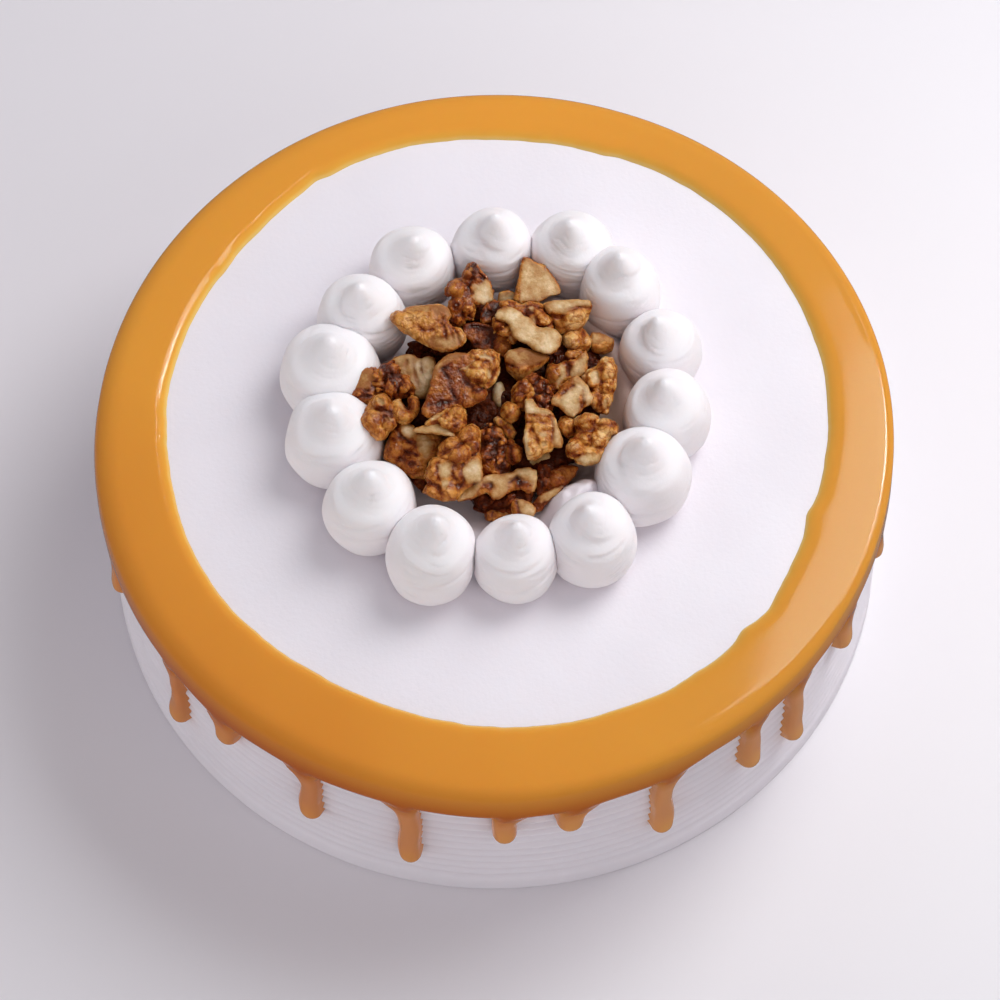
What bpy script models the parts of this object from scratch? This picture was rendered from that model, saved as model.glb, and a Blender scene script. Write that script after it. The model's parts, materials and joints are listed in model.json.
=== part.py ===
"""Coffee and walnut cake: combed cream, a caramel rim with drips, a ring of piped kisses, walnuts."""

import math

import bmesh
import bpy
from mathutils import Euler, Vector, noise

mm = 0.001
gap = 0.3 * mm  # between neighbours that touch

# the cake under its cream
creamTop = 64.0 * mm
topRadius = 100.2 * mm
footRadius = 103.4 * mm
bodySides = 50
ridges = 12
ridgePitch = 3.75 * mm
ridgeDepth = 1.3 * mm
lowestGroove = 8.6 * mm
rimRound = 4.0 * mm

# the caramel over the rim
caramelInner = 85.8 * mm
innerWaves = [(-1.4, 1.4), (0.4, 0.15), (0.1, 0.4), (-0.25, 0.65), (0.0, -0.1), (-0.1, 0.1), (0.3, -0.2)]
caramelThick = 1.9 * mm
sideThick = 2.8 * mm  # where it hangs over the rim
hemHeight = 49.0 * mm
dripThick = 2.4 * mm

# angle from the front, lowest point, half width: mm and degrees, to the right round the cake
drips = [
    (0.7, 36.6, 2.8), (10.2, 39.6, 3.2), (23.9, 21.2, 2.6), (38.8, 29.3, 2.7),
    (47.9, 20.4, 2.6), (60.6, 36.6, 2.8), (74.0, 43.0, 2.8), (88.0, 42.0, 3.2),
    (104.0, 30.0, 2.7), (121.0, 40.0, 3.0), (137.0, 24.0, 2.7), (152.0, 37.0, 2.9),
    (166.0, 20.0, 2.6), (181.0, 34.0, 2.8), (195.0, 42.0, 3.1), (211.0, 25.0, 2.7),
    (227.0, 38.0, 2.9), (243.0, 22.0, 2.6), (258.0, 35.0, 2.8), (272.0, 43.0, 3.2),
    (288.0, 37.0, 2.7), (306.9, 20.9, 2.7), (317.9, 38.4, 3.0), (332.3, 25.4, 2.7),
    (347.3, 19.4, 2.6),
]

# the piped kisses: centre x and y, radius, height, lean of the tip in x and y: mm
kisses = [
    (-20.6, 41.8, 11.5, 23.5, 0.6, 0.0), (0.0, 46.9, 11.0, 25.0, 1.4, 0.0),
    (21.2, 45.3, 11.3, 25.4, -0.5, 0.0), (33.4, 33.4, 10.9, 27.6, -0.8, 0.6),
    (43.4, 16.2, 10.8, 24.4, -1.1, 0.0), (44.2, -3.1, 11.6, 26.6, -0.7, 0.0),
    (37.4, -20.5, 12.3, 27.4, 0.3, 0.6), (24.6, -38.0, 11.5, 26.2, -0.8, 0.0),
    (5.2, -42.6, 10.9, 24.4, 0.4, 1.0), (-16.2, -41.9, 11.7, 27.8, 2.2, 1.0),
    (-31.3, -27.9, 11.8, 26.2, 0.7, 0.0), (-40.5, -8.4, 12.5, 25.8, 0.2, 0.0),
    (-41.7, 10.7, 13.1, 26.0, 0.4, 0.0), (-33.6, 26.7, 11.7, 25.4, 0.5, 0.0),
]
kissSides = 10
# height and radius of a kiss, as shares of its own
kissShape = [
    (0.0, 0.80), (0.10, 0.935), (0.26, 1.0), (0.42, 0.97),
    (0.56, 0.875), (0.69, 0.67), (0.79, 0.45), (0.88, 0.235), (0.955, 0.11),
]

# walnut pieces: centre x, y and height over the cream, half sizes, turn and tilt: mm and degrees
walnuts = [
    (11.9, 33.8, 11.8, 5.6, 5.6, 3.4, -60, 50), (-4.8, 33.4, 15.2, 6.2, 4.6, 3.6, 35, 20),
    (-7.3, 26.4, 13.2, 4.8, 3.4, 3.4, 75, 10), (-16.3, 18.8, 17.2, 9.8, 5.0, 3.6, -22, 20),
    (-1.2, 18.1, 13.2, 6.4, 3.2, 3.0, -15, 0), (0.3, 25.6, 13.2, 3.0, 3.0, 2.6, 0, 0),
    (9.4, 17.4, 17.8, 9.8, 3.2, 2.8, -36, 25), (11.2, 23.4, 15.2, 7.0, 3.4, 3.4, -15, 0),
    (19.5, 23.9, 14.6, 6.2, 3.8, 3.6, 0, 15), (21.4, 18.6, 10.2, 3.8, 3.2, 3.2, 0, 0),
    (28.3, 19.1, 8.2, 3.2, 3.0, 3.0, 0, 0), (4.2, 32.4, 9.2, 2.6, 2.2, 2.2, 0, 0),
    (8.9, 9.7, 14.2, 6.0, 4.0, 3.6, -10, 15), (19.1, 9.3, 11.2, 5.0, 4.6, 3.6, 30, 0),
    (28.4, 5.7, 12.2, 6.6, 3.6, 3.6, 70, 0), (20.2, -0.7, 15.2, 5.6, 4.4, 2.8, -50, 25),
    (10.4, 1.7, 14.2, 5.4, 4.6, 4.0, -20, 0), (4.2, -4.9, 15.2, 2.5, 2.5, 2.5, 0, 0),
    (2.4, 4.0, 9.2, 3.6, 2.6, 2.2, 60, 0), (-7.9, 2.4, 18.2, 10.0, 7.4, 4.6, 35, 20),
    (-19.8, 9.2, 10.2, 6.0, 4.8, 3.0, -40, 20), (-28.7, 5.5, 13.2, 8.0, 5.4, 4.0, -5, 0),
    (-26.2, -5.8, 15.2, 7.4, 5.4, 3.4, 20, 15), (-12.1, -9.2, 18.2, 7.0, 3.6, 2.0, 20, 30),
    (-21.7, -11.1, 9.2, 7.4, 6.0, 4.2, -50, 20), (-9.4, -18.7, 15.2, 9.0, 6.4, 4.8, 60, 25),
    (1.3, -12.5, 10.2, 6.4, 4.8, 4.0, 70, 0), (5.2, -14.5, 12.2, 2.3, 2.3, 2.3, 0, 0),
    (12.5, -10.6, 15.2, 7.8, 4.4, 3.6, -75, 30), (23.7, -11.8, 13.2, 7.6, 5.6, 4.4, 15, 20),
    (1.1, -23.1, 9.2, 9.8, 2.8, 2.0, 20, 30), (-0.3, -25.2, 5.2, 7.4, 3.2, 3.0, 5, 0),
    (7.6, -27.4, 6.2, 3.4, 2.6, 2.4, -30, 20), (16.7, -16.5, 6.2, 5.6, 4.4, 3.4, 30, 0),
    (13.7, -23.3, 6.2, 5.2, 3.0, 2.6, 35, 0), (-19.3, -18.1, 4.2, 3.6, 3.0, 2.4, -40, 0),
]
smallWalnut = 3.5 * mm  # a piece under this half length takes fewer faces
walnutRoot = 1.7  # how much further a piece reaches down, into the pieces under it
heapCentre = (0.5, 3.0)
heapRadius = 31.0 * mm
heapHeight = 14.0 * mm
heapFall = 36.0 * mm


def clearScene():
    for old in list(bpy.data.objects):
        bpy.data.objects.remove(old)


def plainMaterial(name, colour, roughness):
    material = bpy.data.materials.new(name)
    material.use_nodes = True
    shader = material.node_tree.nodes["Principled BSDF"]
    shader.inputs["Base Color"].default_value = (*colour, 1.0)
    shader.inputs["Roughness"].default_value = roughness
    return material


def meshObject(name, points, faces, material):
    mesh = bpy.data.meshes.new(name)
    mesh.from_pydata(points, [], faces)
    mesh.materials.append(material)
    made = bpy.data.objects.new(name, mesh)
    bpy.context.scene.collection.objects.link(made)
    outward(mesh)
    return made


def outward(mesh):
    work = bmesh.new()
    work.from_mesh(mesh)
    bmesh.ops.recalc_face_normals(work, faces=work.faces)
    work.to_mesh(mesh)
    work.free()


def stackFaces(rings, sides):
    """The walls between rings of the same count, with a fan at each end point."""
    faces = []
    for ring in range(rings - 1):
        for side in range(sides):
            low = ring * sides
            after = (side + 1) % sides
            faces.append((low + side, low + after, low + sides + after, low + sides + side))
    bottom = rings * sides
    last = (rings - 1) * sides
    for side in range(sides):
        after = (side + 1) % sides
        faces.append((bottom, after, side))
        faces.append((bottom + 1, last + side, last + after))
    return faces


def sideRadius(height):
    """The crest of the combed side, which flares a little to the foot."""
    share = min(max(height / creamTop, 0.0), 1.0)
    return footRadius + (topRadius - footRadius) * share


def bodyProfile():
    rows = [(sideRadius(0) - 1.0 * mm, 0.0), (sideRadius(0), 1.0 * mm)]
    rows.append((sideRadius(0), lowestGroove - ridgePitch * 0.45))
    for ridge in range(ridges):
        height = lowestGroove + ridge * ridgePitch
        rows.append((sideRadius(height) - ridgeDepth, height))
        rows.append((sideRadius(height), height + ridgePitch * 0.5))
    for turn in (0, 45, 90):
        angle = math.radians(turn)
        out = topRadius - rimRound * (1 - math.cos(angle))
        rows.append((out, creamTop - rimRound * (1 - math.sin(angle))))
    return rows


def makeBody(material):
    rows = bodyProfile()
    points = []
    for radius, height in rows:
        for side in range(bodySides):
            angle = math.tau * side / bodySides
            points.append((radius * math.sin(angle), -radius * math.cos(angle), height))
    points += [(0, 0, 0), (0, 0, creamTop)]
    return meshObject("cake_body", points, stackFaces(len(rows), bodySides), material)


def hemAt(angle):
    """Height of the caramel's hem between its drips."""
    return hemHeight + 1.2 * mm * math.sin(math.radians(3 * angle + 40))


def dripReach(across):
    """How much of its length a drip has, across half widths from its middle."""
    if across < 1:
        return 0.86 + 0.14 * math.sqrt(1 - across * across)
    return 0.42 * max(0.0, (2.2 - across) / 1.2) ** 2


def hemColumns():
    """Every angle where the caramel has a section: (degrees, height of the hem, share of drip)."""
    columns = []
    for index, (angle, tip, half) in enumerate(drips):
        wide = math.degrees(half * mm / footRadius)
        hem = hemAt(angle)
        for across in (-2.2, -1.06, -0.94, 0.0, 0.94, 1.06, 2.2):
            share = dripReach(abs(across))
            columns.append((angle + across * wide, hem - share * (hem - tip * mm), share))
        after = drips[(index + 1) % len(drips)][0] + 360 * (index == len(drips) - 1)
        middle = (angle + after) / 2
        columns.append((middle, hemAt(middle) + 1.2 * mm, 0.0))
    return columns


def caramelInnerAt(angle):
    """The wavering inner edge, which is a little off centre."""
    reach = caramelInner
    for order, (along, across) in enumerate(innerWaves, 1):
        turn = math.radians(order * angle)
        reach += (along * math.cos(turn) + across * math.sin(turn)) * mm
    return reach


def caramelSection(angle, hem, share):
    """One closed section, as (distance out, height) pairs, from the inner lip over the rim."""
    lip = caramelInnerAt(angle)
    top = creamTop + gap
    thick = sideThick + (dripThick - sideThick) * share
    outer = topRadius + gap
    wide = rimRound + gap
    side = creamTop - rimRound

    def under(height):
        return max(sideRadius(height), topRadius) + gap

    half = math.sqrt(0.5)
    bend = outer - wide * (1 - half)
    over = half * (wide + (caramelThick + sideThick) / 2)
    low = hem + 1.6 * mm
    return [
        (lip, top), (lip + 0.5 * mm, top + 0.5 * mm), (lip + 5 * mm, top + caramelThick),
        (outer - wide, top + caramelThick),
        (outer - wide + over, side + over),
        (outer + sideThick, side - 2.0 * mm), (under(low) + thick, low), (under(hem) + 0.6 * mm, hem),
        (under(hem), hem), (under(side), side),
        (bend, side + half * wide), (outer - wide, top),
    ]


def makeCaramel(material):
    columns = hemColumns()
    points = []
    for angle, hem, share in columns:
        section = caramelSection(angle, hem, share)
        turn = math.radians(angle)
        for out, height in section:
            points.append((out * math.sin(turn), -out * math.cos(turn), height))
    count = len(section)
    faces = []
    for column in range(len(columns)):
        after = (column + 1) % len(columns)
        for step in range(count):
            ahead = (step + 1) % count
            here, there = column * count, after * count
            faces.append((here + step, there + step, there + ahead, here + ahead))
    return meshObject("caramel_glaze", points, faces, material)


def kissRadius(share):
    """Radius of a kiss at a share of its height."""
    for (low, lowSize), (high, highSize) in zip(kissShape, kissShape[1:]):
        if share <= high:
            return lowSize + (highSize - lowSize) * (share - low) / (high - low)
    return kissShape[-1][1] * max(0.0, (1 - share) / (1 - kissShape[-1][0]))


def pressedPoint(point, own):
    """Moves a point back to this kiss's side of the flat where a neighbour presses on it."""
    x, y, radius = kisses[own][:3]
    for step in (-1, 1):
        nextX, nextY, nextRadius = kisses[(own + step) % len(kisses)][:3]
        along = Vector((nextX - x, nextY - y, 0)) * mm
        apart = along.length
        along.normalize()
        split = (apart ** 2 + (radius * mm) ** 2 - (nextRadius * mm) ** 2) / (2 * apart)
        over = (point - Vector((x, y, 0)) * mm).dot(along) - (split - gap / 2)
        if over > 0:
            point = point - along * over
    return point


def makeKiss(own, material):
    x, y, radius, height, leanX, leanY = kisses[own]
    points = []
    for share, size in kissShape + [(0.0, 0.0), (1.0, 0.0)]:
        lean = Vector((leanX, leanY, 0)) * mm * share ** 2
        middle = Vector((x * mm, y * mm, creamTop + gap + share * height * mm)) + lean
        for side in range(kissSides if size else 1):
            angle = math.tau * (side + 0.5 * (own % 2)) / kissSides
            arm = Vector((math.cos(angle), math.sin(angle), 0)) * size * radius * mm
            points.append(pressedPoint(middle + arm, own))
    faces = stackFaces(len(kissShape), kissSides)
    return meshObject("kiss_%02d" % (own + 1), points, faces, material)


def clearOfKisses(point):
    """Moves a walnut point out of any kiss that it would enter."""
    for x, y, radius, height, leanX, leanY in kisses * 3:
        share = (point.z - creamTop - gap) / (height * mm)
        if not -0.1 < share < 1.02:
            continue
        share = min(max(share, 0.0), 1.0)
        middle = Vector(((x + leanX * share ** 2) * mm, (y + leanY * share ** 2) * mm, point.z))
        keep = kissRadius(share) * radius * mm + 1.2 * mm
        away = point - middle
        if away.length < keep:
            point = middle + away.normalized() * keep
    return point


def makeWalnut(index):
    """One chunky piece: a ball, drawn out to its size, lobed, then kept clear of the kisses."""
    x, y, up, half, across, thick, turn, tilt = walnuts[index]
    work = bmesh.new()
    if half * mm < smallWalnut:
        bmesh.ops.create_uvsphere(work, u_segments=7, v_segments=4, radius=1)
    else:
        bmesh.ops.create_icosphere(work, subdivisions=2, radius=1)
    roll = (index * 7) % 23 - 11
    spin = Euler((math.radians(tilt + 4), math.radians(roll), math.radians(turn)), "XYZ")
    centre = Vector((x * mm, y * mm, creamTop + up * mm))
    for vert in work.verts:
        seed = Vector((7.3 * index, 3.1 * index, 0))
        lobes = 1 + 0.30 * noise.noise(vert.co * 1.9 + seed)
        root = walnutRoot if vert.co.z < 0 else 1.0
        point = Vector((vert.co.x * half, vert.co.y * across, vert.co.z * thick * root)) * lobes * mm
        point.rotate(spin)
        vert.co = clearOfKisses(centre + point)
        vert.co.z = max(vert.co.z, creamTop + gap + (0.5 + 0.04 * index) * mm)
    mesh = bpy.data.meshes.new("walnut_piece_%02d" % (index + 1))
    work.to_mesh(mesh)
    work.free()
    outward(mesh)
    return bpy.data.objects.new(mesh.name, mesh)


def makeCore(material):
    """The mound of pieces under the ones that show, which falls away to the front."""
    rows = [(0.97, 0.0), (1.0, 0.5), (0.86, 0.8), (0.5, 0.96)]
    sides = 24
    points = []
    for size, rise in rows:
        for side in range(sides):
            angle = math.tau * side / sides
            arm = size * heapRadius
            x = heapCentre[0] * mm + arm * math.cos(angle)
            y = heapCentre[1] * mm + arm * math.sin(angle)
            fall = min(max((y + heapFall) / heapFall, 0.35), 1.0)
            point = Vector((x, y, creamTop + gap + rise * fall * heapHeight))
            points.append(clearOfKisses(point))
    points.append((heapCentre[0] * mm, heapCentre[1] * mm, creamTop + gap))
    points.append((heapCentre[0] * mm, heapCentre[1] * mm, creamTop + gap + heapHeight))
    return meshObject("walnut_heap", points, stackFaces(len(rows), sides), material)


def uniteAll(target, pieces):
    """Fuses the pieces onto the core in one union, and takes their objects away."""
    group = bpy.data.collections.new("walnut_pieces")
    bpy.context.scene.collection.children.link(group)
    for piece in pieces:
        group.objects.link(piece)
    union = target.modifiers.new("union", "BOOLEAN")
    union.operation = "UNION"
    union.operand_type = "COLLECTION"
    union.collection = group
    union.solver = "MANIFOLD"
    bpy.context.view_layer.update()
    graph = bpy.context.evaluated_depsgraph_get()
    joined = bpy.data.meshes.new_from_object(target.evaluated_get(graph))
    target.modifiers.clear()
    target.data = joined
    for piece in pieces:
        bpy.data.objects.remove(piece)
    bpy.data.collections.remove(group)


def keepLargest(target):
    """Drops loose scraps and sealed hollows, which are the smaller separate shells."""
    work = bmesh.new()
    work.from_mesh(target.data)
    bmesh.ops.remove_doubles(work, verts=work.verts, dist=0.001 * mm)
    left = set(work.verts)
    shells = []
    while left:
        todo = [left.pop()]
        shell = set(todo)
        while todo:
            for edge in todo.pop().link_edges:
                for vert in edge.verts:
                    if vert in left:
                        left.remove(vert)
                        shell.add(vert)
                        todo.append(vert)
        shells.append(shell)
    biggest = max(shells, key=len)
    extra = [vert for shell in shells if shell is not biggest for vert in shell]
    bmesh.ops.delete(work, geom=extra, context="VERTS")
    bmesh.ops.triangulate(work, faces=work.faces, quad_method="BEAUTY", ngon_method="BEAUTY")
    bmesh.ops.recalc_face_normals(work, faces=work.faces)
    work.to_mesh(target.data)
    work.free()


def makeWalnutHeap(material):
    heap = makeCore(material)
    uniteAll(heap, [makeWalnut(index) for index in range(len(walnuts))])
    keepLargest(heap)
    return heap


clearScene()
makeBody(plainMaterial("cream_side", (0.80, 0.76, 0.78), 0.6))
makeCaramel(plainMaterial("caramel", (0.62, 0.26, 0.06), 0.25))
for number in range(len(kisses)):
    makeKiss(number, plainMaterial("kiss_cream_%02d" % (number + 1), (0.84, 0.81, 0.82), 0.6))
makeWalnutHeap(plainMaterial("walnut", (0.36, 0.17, 0.07), 0.5))
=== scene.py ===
import itertools
import json
import math

import bpy
import numpy as np
from mathutils import Matrix

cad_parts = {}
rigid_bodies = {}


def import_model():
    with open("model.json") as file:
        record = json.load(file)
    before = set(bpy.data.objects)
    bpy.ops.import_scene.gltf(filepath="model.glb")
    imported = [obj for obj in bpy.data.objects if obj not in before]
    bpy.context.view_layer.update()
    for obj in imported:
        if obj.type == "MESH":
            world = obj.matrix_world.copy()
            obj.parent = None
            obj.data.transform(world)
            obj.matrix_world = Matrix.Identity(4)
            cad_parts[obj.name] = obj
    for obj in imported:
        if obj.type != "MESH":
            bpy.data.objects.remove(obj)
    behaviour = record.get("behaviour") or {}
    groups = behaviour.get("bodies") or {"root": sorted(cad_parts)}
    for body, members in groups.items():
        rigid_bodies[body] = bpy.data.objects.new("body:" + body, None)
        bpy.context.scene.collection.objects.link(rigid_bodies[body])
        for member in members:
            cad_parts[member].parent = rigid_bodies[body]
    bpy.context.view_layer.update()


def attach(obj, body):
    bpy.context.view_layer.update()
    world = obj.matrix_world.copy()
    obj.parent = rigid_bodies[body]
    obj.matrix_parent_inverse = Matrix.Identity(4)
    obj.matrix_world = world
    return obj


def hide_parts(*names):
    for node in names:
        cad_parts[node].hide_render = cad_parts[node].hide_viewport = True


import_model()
mm = 0.001


def hashed(cell, salt):
    # three random numbers from -1 to 1 for each corner of a lattice
    cell = cell.astype(np.uint64)
    mix = cell[:, 0] * np.uint64(73856093) ^ cell[:, 1] * np.uint64(19349663)
    mix = mix ^ cell[:, 2] * np.uint64(83492791)
    mix = (mix ^ np.uint64(salt * 2654435761 + 12345)) & np.uint64(0xffffffff)
    out = []
    for turn in range(3):
        mix = (mix * np.uint64(1664525) + np.uint64(1013904223 + 7 * turn)) & np.uint64(0xffffffff)
        mix = mix ^ (mix >> np.uint64(15))
        out.append((mix & np.uint64(0xffff)).astype(float) / 32767.5 - 1)
    return np.stack(out, 1)


def softNoise(points, salt=0):
    # gradient noise, about -1 to 1
    cell = np.floor(points).astype(np.int64)
    part = points - cell
    ease = part ** 3 * (part * (part * 6 - 15) + 10)
    total = np.zeros(len(points))
    for corner in itertools.product((0, 1), repeat=3):
        step = np.array(corner)
        weight = np.prod(np.where(step == 1, ease, 1 - ease), axis=1)
        total += weight * np.sum(hashed(cell + step + 4096, salt) * (part - step), axis=1)
    return total * 1.5


def flatNoise(places, size, salt, layer=0):
    # noise over a drawing, with lumps of the given size in mm
    return softNoise(np.column_stack([places / size, places[:, 0] * 0 + layer]), salt)


def roundNoise(angle, size, salt):
    # noise that meets itself round a ring, at angles in degrees
    turn = np.radians(angle)
    return softNoise(np.stack([np.cos(turn) * size, np.sin(turn) * size, angle * 0], 1), salt)


def foldedAngle(angle):
    # the same angle in degrees, between -180 and 180
    return (angle + 180) % 360 - 180


def gridFaces(rows, columns):
    # quads between rings of points, ring after ring
    row, column = np.meshgrid(np.arange(rows - 1), np.arange(columns), indexing="ij")
    after = (column + 1) % columns
    low = row * columns
    quads = np.stack([low + column, low + after, low + columns + after, low + columns + column], -1)
    return quads.reshape(-1, 4)


def closedFaces(rows, columns):
    # rings of points with a face over the first and the last ring
    faces = gridFaces(rows, columns).tolist()
    faces.append(list(range(columns))[::-1])
    faces.append([(rows - 1) * columns + index for index in range(columns)])
    return faces


def makePiece(name, points, faces, material, nodes):
    # points in mm; the piece rides on the cake and stands for its solids
    mesh = bpy.data.meshes.new(name)
    mesh.from_pydata((np.asarray(points) * mm).tolist(), [], [list(map(int, face)) for face in faces])
    mesh.validate()
    mesh.materials.append(material)
    mesh.shade_smooth()
    piece = bpy.data.objects.new(name, mesh)
    bpy.context.scene.collection.objects.link(piece)
    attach(piece, "root")
    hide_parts(*nodes)
    return piece


def addLayer(piece, name, values):
    # one number for each point, which the material reads by this name
    layer = piece.data.attributes.new(name, "FLOAT", "POINT")
    layer.data.foreach_set("value", np.asarray(values, np.float32))


def newMaterial(name, **values):
    # a Principled material; the values go straight onto its sockets
    material = bpy.data.materials.new(name)
    material.use_nodes = True
    shader = material.node_tree.nodes["Principled BSDF"]
    for socket, value in values.items():
        shader.inputs[socket.replace("_", " ")].default_value = value
    return material, material.node_tree, shader


def addNode(tree, kind, inputs=(), **settings):
    made = tree.nodes.new(kind)
    for name, value in settings.items():
        setattr(made, name, value)
    for socket, value in dict(inputs).items():
        if isinstance(value, bpy.types.NodeSocket):
            tree.links.new(value, made.inputs[socket])
        else:
            made.inputs[socket].default_value = value
    return made


def readLayer(tree, name):
    return addNode(tree, "ShaderNodeAttribute", attribute_name=name).outputs["Fac"]


def objectPlace(tree):
    return addNode(tree, "ShaderNodeTexCoord").outputs["Object"]


def addRamp(tree, factor, stops):
    # stops: place and colour, or place and grey
    ramp = addNode(tree, "ShaderNodeValToRGB", {"Fac": factor})
    points = ramp.color_ramp.elements
    while len(points) < len(stops):
        points.new(0.5)
    for point, (where, colour) in zip(points, stops):
        point.position = where
        point.color = (*np.broadcast_to(colour, 3).tolist(), 1)
    return ramp.outputs["Color"]


def addRange(tree, value, low, high):
    # 0 at low, 1 at high
    inputs = {"Value": value, "From Min": low, "From Max": high}
    return addNode(tree, "ShaderNodeMapRange", inputs).outputs[0]


def addNoise(tree, where, scale, detail=2.0, **more):
    inputs = {"Vector": where, "Scale": scale, "Detail": detail, **more}
    return addNode(tree, "ShaderNodeTexNoise", inputs).outputs["Fac"]


def addMix(tree, factor, first, second, blend="MIX"):
    mix = addNode(tree, "ShaderNodeMix", data_type="RGBA", blend_type=blend)
    for socket, value in zip((0, 6, 7), (factor, first, second)):
        if isinstance(value, bpy.types.NodeSocket):
            tree.links.new(value, mix.inputs[socket])
        else:
            mix.inputs[socket].default_value = value if socket == 0 else (*value, 1)
    return mix.outputs[2]


def addMath(tree, kind, *values):
    return addNode(tree, "ShaderNodeMath", dict(enumerate(values)), operation=kind).outputs[0]


def addSum(tree, start, parts):
    # the start plus every part times its share
    for part, share in parts:
        start = addMath(tree, "MULTIPLY_ADD", part, share, start)
    return start


def addBump(tree, shader, height, strength, distance):
    bump = addNode(tree, "ShaderNodeBump", {"Height": height, "Strength": strength, "Distance": distance})
    tree.links.new(bump.outputs["Normal"], shader.inputs["Normal"])


# the camera stands where the photograph was taken; lamps in metres and watts
studio = {
    "cameraPlace": (1.47, -426.44, 857.76),  # mm
    "elevation": 63.0,
    "roll": -0.8,
    "lens": 126.0,
    "floorColour": (0.80, 0.765, 0.80),
    "floorReach": 4.0,
    "worldTop": (0.41, 0.41, 0.435),
    "worldHorizon": (0.23, 0.226, 0.232),
    "lamps": {
        "keyLight": {"place": (0.433, 0.322, 0.70), "size": (0.55, 0.55), "watts": 4.7,
                     "colour": (1.0, 0.985, 1.0)},
        # light from the front that only opens the shadows
        "fillRight": {"place": (0.50, -0.80, 0.72), "size": (0.9, 0.9), "watts": 2.2,
                      "colour": (1.0, 0.97, 0.93)},
        "fillLeft": {"place": (-0.9, -0.75, 0.26), "size": (0.9, 0.5), "watts": 1.0,
                     "colour": (1.0, 0.97, 0.93)},
        # a strip below the level of the top, which reaches only the wall and the floor
        "fillLow": {"place": (-0.9, -0.32, 0.04), "size": (1.2, 0.07), "watts": 1.45,
                    "colour": (1.0, 0.97, 0.97)},
    },
    # lamps that only glossy things see: sparks on wet skin, and the broad gleam on the caramel's right
    "gleams": {
        "glint": {"place": (0.333, 0.248, 0.539), "size": (0.14, 0.14), "watts": 4.2,
                  "colour": (1.0, 0.98, 0.95)},
        "gleam": {"place": (0.662, 0.337, 1.066), "size": (1.0, 0.36), "watts": 21.0,
                  "colour": (0.72, 0.95, 0.92)},
    },
    "gleamTurn": -18,
}


def makeLamp(name, facts):
    # an oblong lamp that looks at the cake
    lamp = bpy.data.lights.new(name, "AREA")
    lamp.shape = "RECTANGLE"
    lamp.size, lamp.size_y = facts["size"]
    lamp.energy = facts["watts"]
    lamp.color = facts["colour"]
    holder = bpy.data.objects.new(name, lamp)
    bpy.context.scene.collection.objects.link(holder)
    holder.location = facts["place"]
    holder.rotation_euler = (-holder.location).to_track_quat("-Z", "Y").to_euler()
    return holder


def makeCamera():
    lens = bpy.data.cameras.new("photoCamera")
    lens.lens = studio["lens"]
    lens.sensor_width = 36.0
    lens.clip_start = 0.05
    camera = bpy.data.objects.new("photoCamera", lens)
    bpy.context.scene.collection.objects.link(camera)
    tip = Matrix.Rotation(math.radians(90 - studio["elevation"]), 4, "X")
    roll = Matrix.Rotation(math.radians(studio["roll"]), 4, "Z")
    place = Matrix.Translation([value * mm for value in studio["cameraPlace"]])
    camera.matrix_world = place @ tip @ roll
    bpy.context.scene.camera = camera


def makeLight():
    lamps = {}
    for name, facts in studio["lamps"].items():
        lamps[name] = makeLamp(name, facts)
        lamps[name].visible_glossy = False
    for name, facts in studio["gleams"].items():
        lamps[name] = makeLamp(name, facts)
        lamps[name].visible_diffuse = False
    lamps["glint"].rotation_euler = lamps["keyLight"].rotation_euler
    lamps["gleam"].rotation_euler = (0, 0, math.radians(studio["gleamTurn"]))
    world = bpy.data.worlds.new("studio")
    world.use_nodes = True
    tree = world.node_tree
    sky = addNode(tree, "ShaderNodeTexCoord").outputs["Generated"]
    up = addNode(tree, "ShaderNodeSeparateXYZ", {0: sky}).outputs["Z"]
    light = addRamp(tree, up, [(0.1, studio["worldHorizon"]), (0.6, studio["worldTop"])])
    tree.links.new(light, tree.nodes["Background"].inputs["Color"])
    bpy.context.scene.world = world
    bpy.context.scene.view_settings.view_transform = "Standard"


def makeFloor():
    material = newMaterial("paleFloor", Base_Color=(*studio["floorColour"], 1), Roughness=0.6)[0]
    reach = studio["floorReach"]
    mesh = bpy.data.meshes.new("floor")
    corners = [(-reach, -reach, 0), (reach, -reach, 0), (reach, reach, 0), (-reach, reach, 0)]
    mesh.from_pydata(corners, [], [(0, 1, 2, 3)])
    mesh.materials.append(material)
    floor = bpy.data.objects.new("floor", mesh)
    bpy.context.scene.collection.objects.link(floor)
    floor.visible_glossy = False


# the cream, combed round the side and smooth on top: mm
cream = {
    "top": 64.0, "topRadius": 100.2, "footRadius": 103.4, "rimRound": 4.0,
    "ridges": 12, "pitch": 3.75, "depth": 1.45, "lowestGroove": 8.6,
    "columns": 360, "rowsPerRidge": 10,
    # the colour near the walnuts is painted shade with their reflected colour
    # the hollow colour is painted shade in the comb's grooves
    "colour": (0.845, 0.80, 0.85), "grooveShadeColour": (0.70, 0.64, 0.68), "paintedNutShadeColour": (0.78, 0.50, 0.36),
    "heapMiddle": (1.2, 2.5), "heapReach": 39,
    # where the kisses' feet run together inside the ring, highest behind on the right
    "feet": {"radius": 33.5, "width": 4.5, "height": 3.6, "swing": 2.9, "highest": 0.6},
    # a smear of cream by the walnuts, in front on the right
    "smear": {"middle": (22, -27.5), "reach": (9, 8), "height": 8.5},
}


def crestRadius(height):
    share = np.clip(np.asarray(height) / cream["top"], 0, 1)
    return cream["footRadius"] + (cream["topRadius"] - cream["footRadius"]) * share


def combCut(height):
    # depth of the comb's mark: round hollows with thin crests between them
    turn = (height - cream["lowestGroove"]) / cream["pitch"] + 0.5
    across = 2 * np.abs(turn - np.floor(turn) - 0.5)
    inside = (turn > 0) & (turn < cream["ridges"])
    fade = 0.7 + 0.3 * np.clip(turn / cream["ridges"], 0, 1)
    return np.where(inside, (1 - across ** 2.0) * fade * cream["depth"], 0)


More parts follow.
